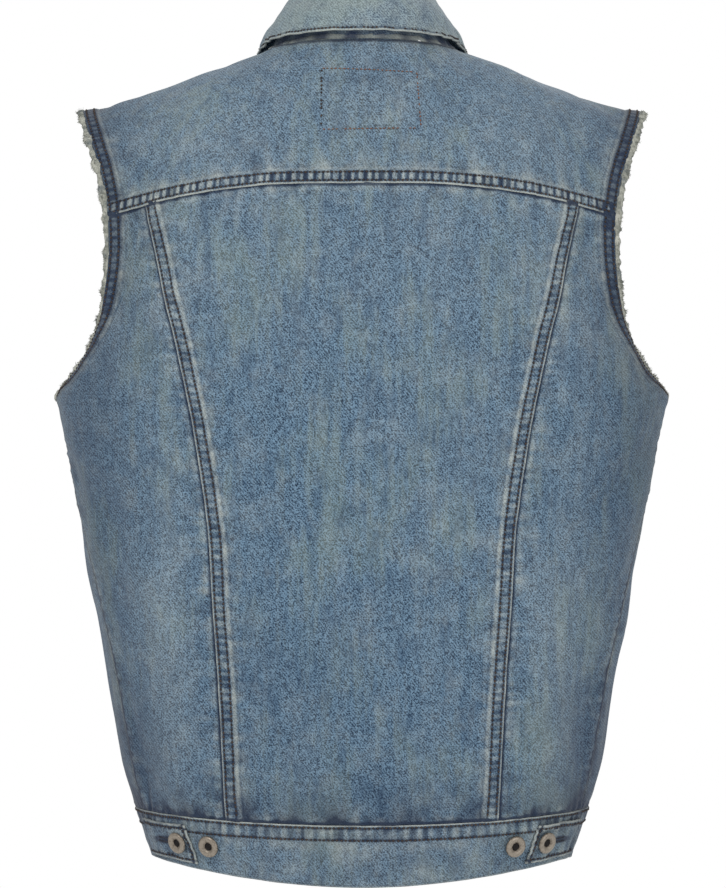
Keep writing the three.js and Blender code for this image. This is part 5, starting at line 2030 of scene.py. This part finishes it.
class Studio:
    """Pale floor, soft lights and the camera."""

    distance: float = 2.7
    height: float = -0.3097
    seen: float = 0.7016

    def build(self) -> None:
        """Makes the stage."""
        self.floor()
        self.lights()
        self.camera()

    def floor(self) -> None:
        """Plain pale floor, far below the hanging vest."""
        bm = bmesh.new()
        bmesh.ops.create_circle(bm, cap_ends=True, segments=96, radius=3)
        bmesh.ops.translate(bm, verts=bm.verts, vec=(0, 0, -1.15))
        mesh = bpy.data.meshes.new("floor")
        bm.to_mesh(mesh)
        bm.free()
        pale = bpy.data.materials.new("pale_floor")
        pale.use_nodes = True
        shader = pale.node_tree.nodes["Principled BSDF"]
        shader.inputs["Base Color"].default_value = (0.93, 0.93, 0.93, 1)
        shader.inputs["Roughness"].default_value = 0.9
        mesh.materials.append(pale)
        new_object("floor", mesh)

    def lights(self) -> None:
        """Soft key from above left, wide fill and an even bright room."""
        for name, place, size, watts in (
            ("key", (-1.5, -2.4, 1.5), 1.8, 46),
            ("fill", (1.9, -2.2, 0.3), 2.0, 22),
            ("behind", (0.5, 2.4, 1.2), 1.6, 24),
        ):
            data = bpy.data.lights.new(name, "AREA")
            data.energy, data.size = watts, size
            lamp = bpy.data.objects.new(name, data)
            lamp.location = place
            lamp.rotation_euler = (Vector((0, 0, -0.3)) - Vector(place)).to_track_quat("-Z", "Y").to_euler()
            bpy.context.scene.collection.objects.link(lamp)
        world = bpy.data.worlds.new("room")
        bpy.context.scene.world = world
        world.use_nodes = True
        t = Tree(world.node_tree)
        back = world.node_tree.nodes["Background"]
        back.inputs["Color"].default_value = (1, 1, 1, 1)
        seen = t.node("LightPath").outputs["Is Camera Ray"]
        t.put(back.inputs["Strength"], t.ramp(seen, 0, 1, (0.62, 1.0)))

    def camera(self) -> None:
        """Camera level with the middle of the vest, behind it."""
        data = bpy.data.cameras.new("photo_view")
        data.sensor_fit = "VERTICAL"
        data.sensor_height = 24
        data.lens = 12 / (self.seen / 2 / self.distance)
        data.clip_end = 100
        eye = bpy.data.objects.new("photo_view", data)
        eye.location = (0.0008, -self.distance, self.height)
        eye.rotation_euler = (math.pi / 2, 0, 0)
        bpy.context.scene.collection.objects.link(eye)
        bpy.context.scene.camera = eye
        bpy.context.scene.view_settings.view_transform = "Standard"


def main() -> None:
    """Builds the vest piece by piece, then the stage."""
    logging.basicConfig(level=logging.INFO, format="%(message)s")
    shop = Workshop()
    BackOfVest(shop).build()
    Fronts(shop).build()
    Waistband(shop).build()
    Buttons(shop).build()
    Collar(shop).build()
    for side in Side:
        Fray(shop, side).build()
    for thread, finish in (
        (shop.brown, ThreadFinish("brown_thread", "#251e1e", "#46382f")),
        (shop.rust, ThreadFinish("rust_thread", "#87523a", "#7a604b")),
        (shop.holes, ThreadFinish("hole_thread", "#22242b", "#45444a")),
    ):
        shop.keep(thread.build(finish.material()), "denim")
    Studio().build()


if __name__ == "__main__":
    main()
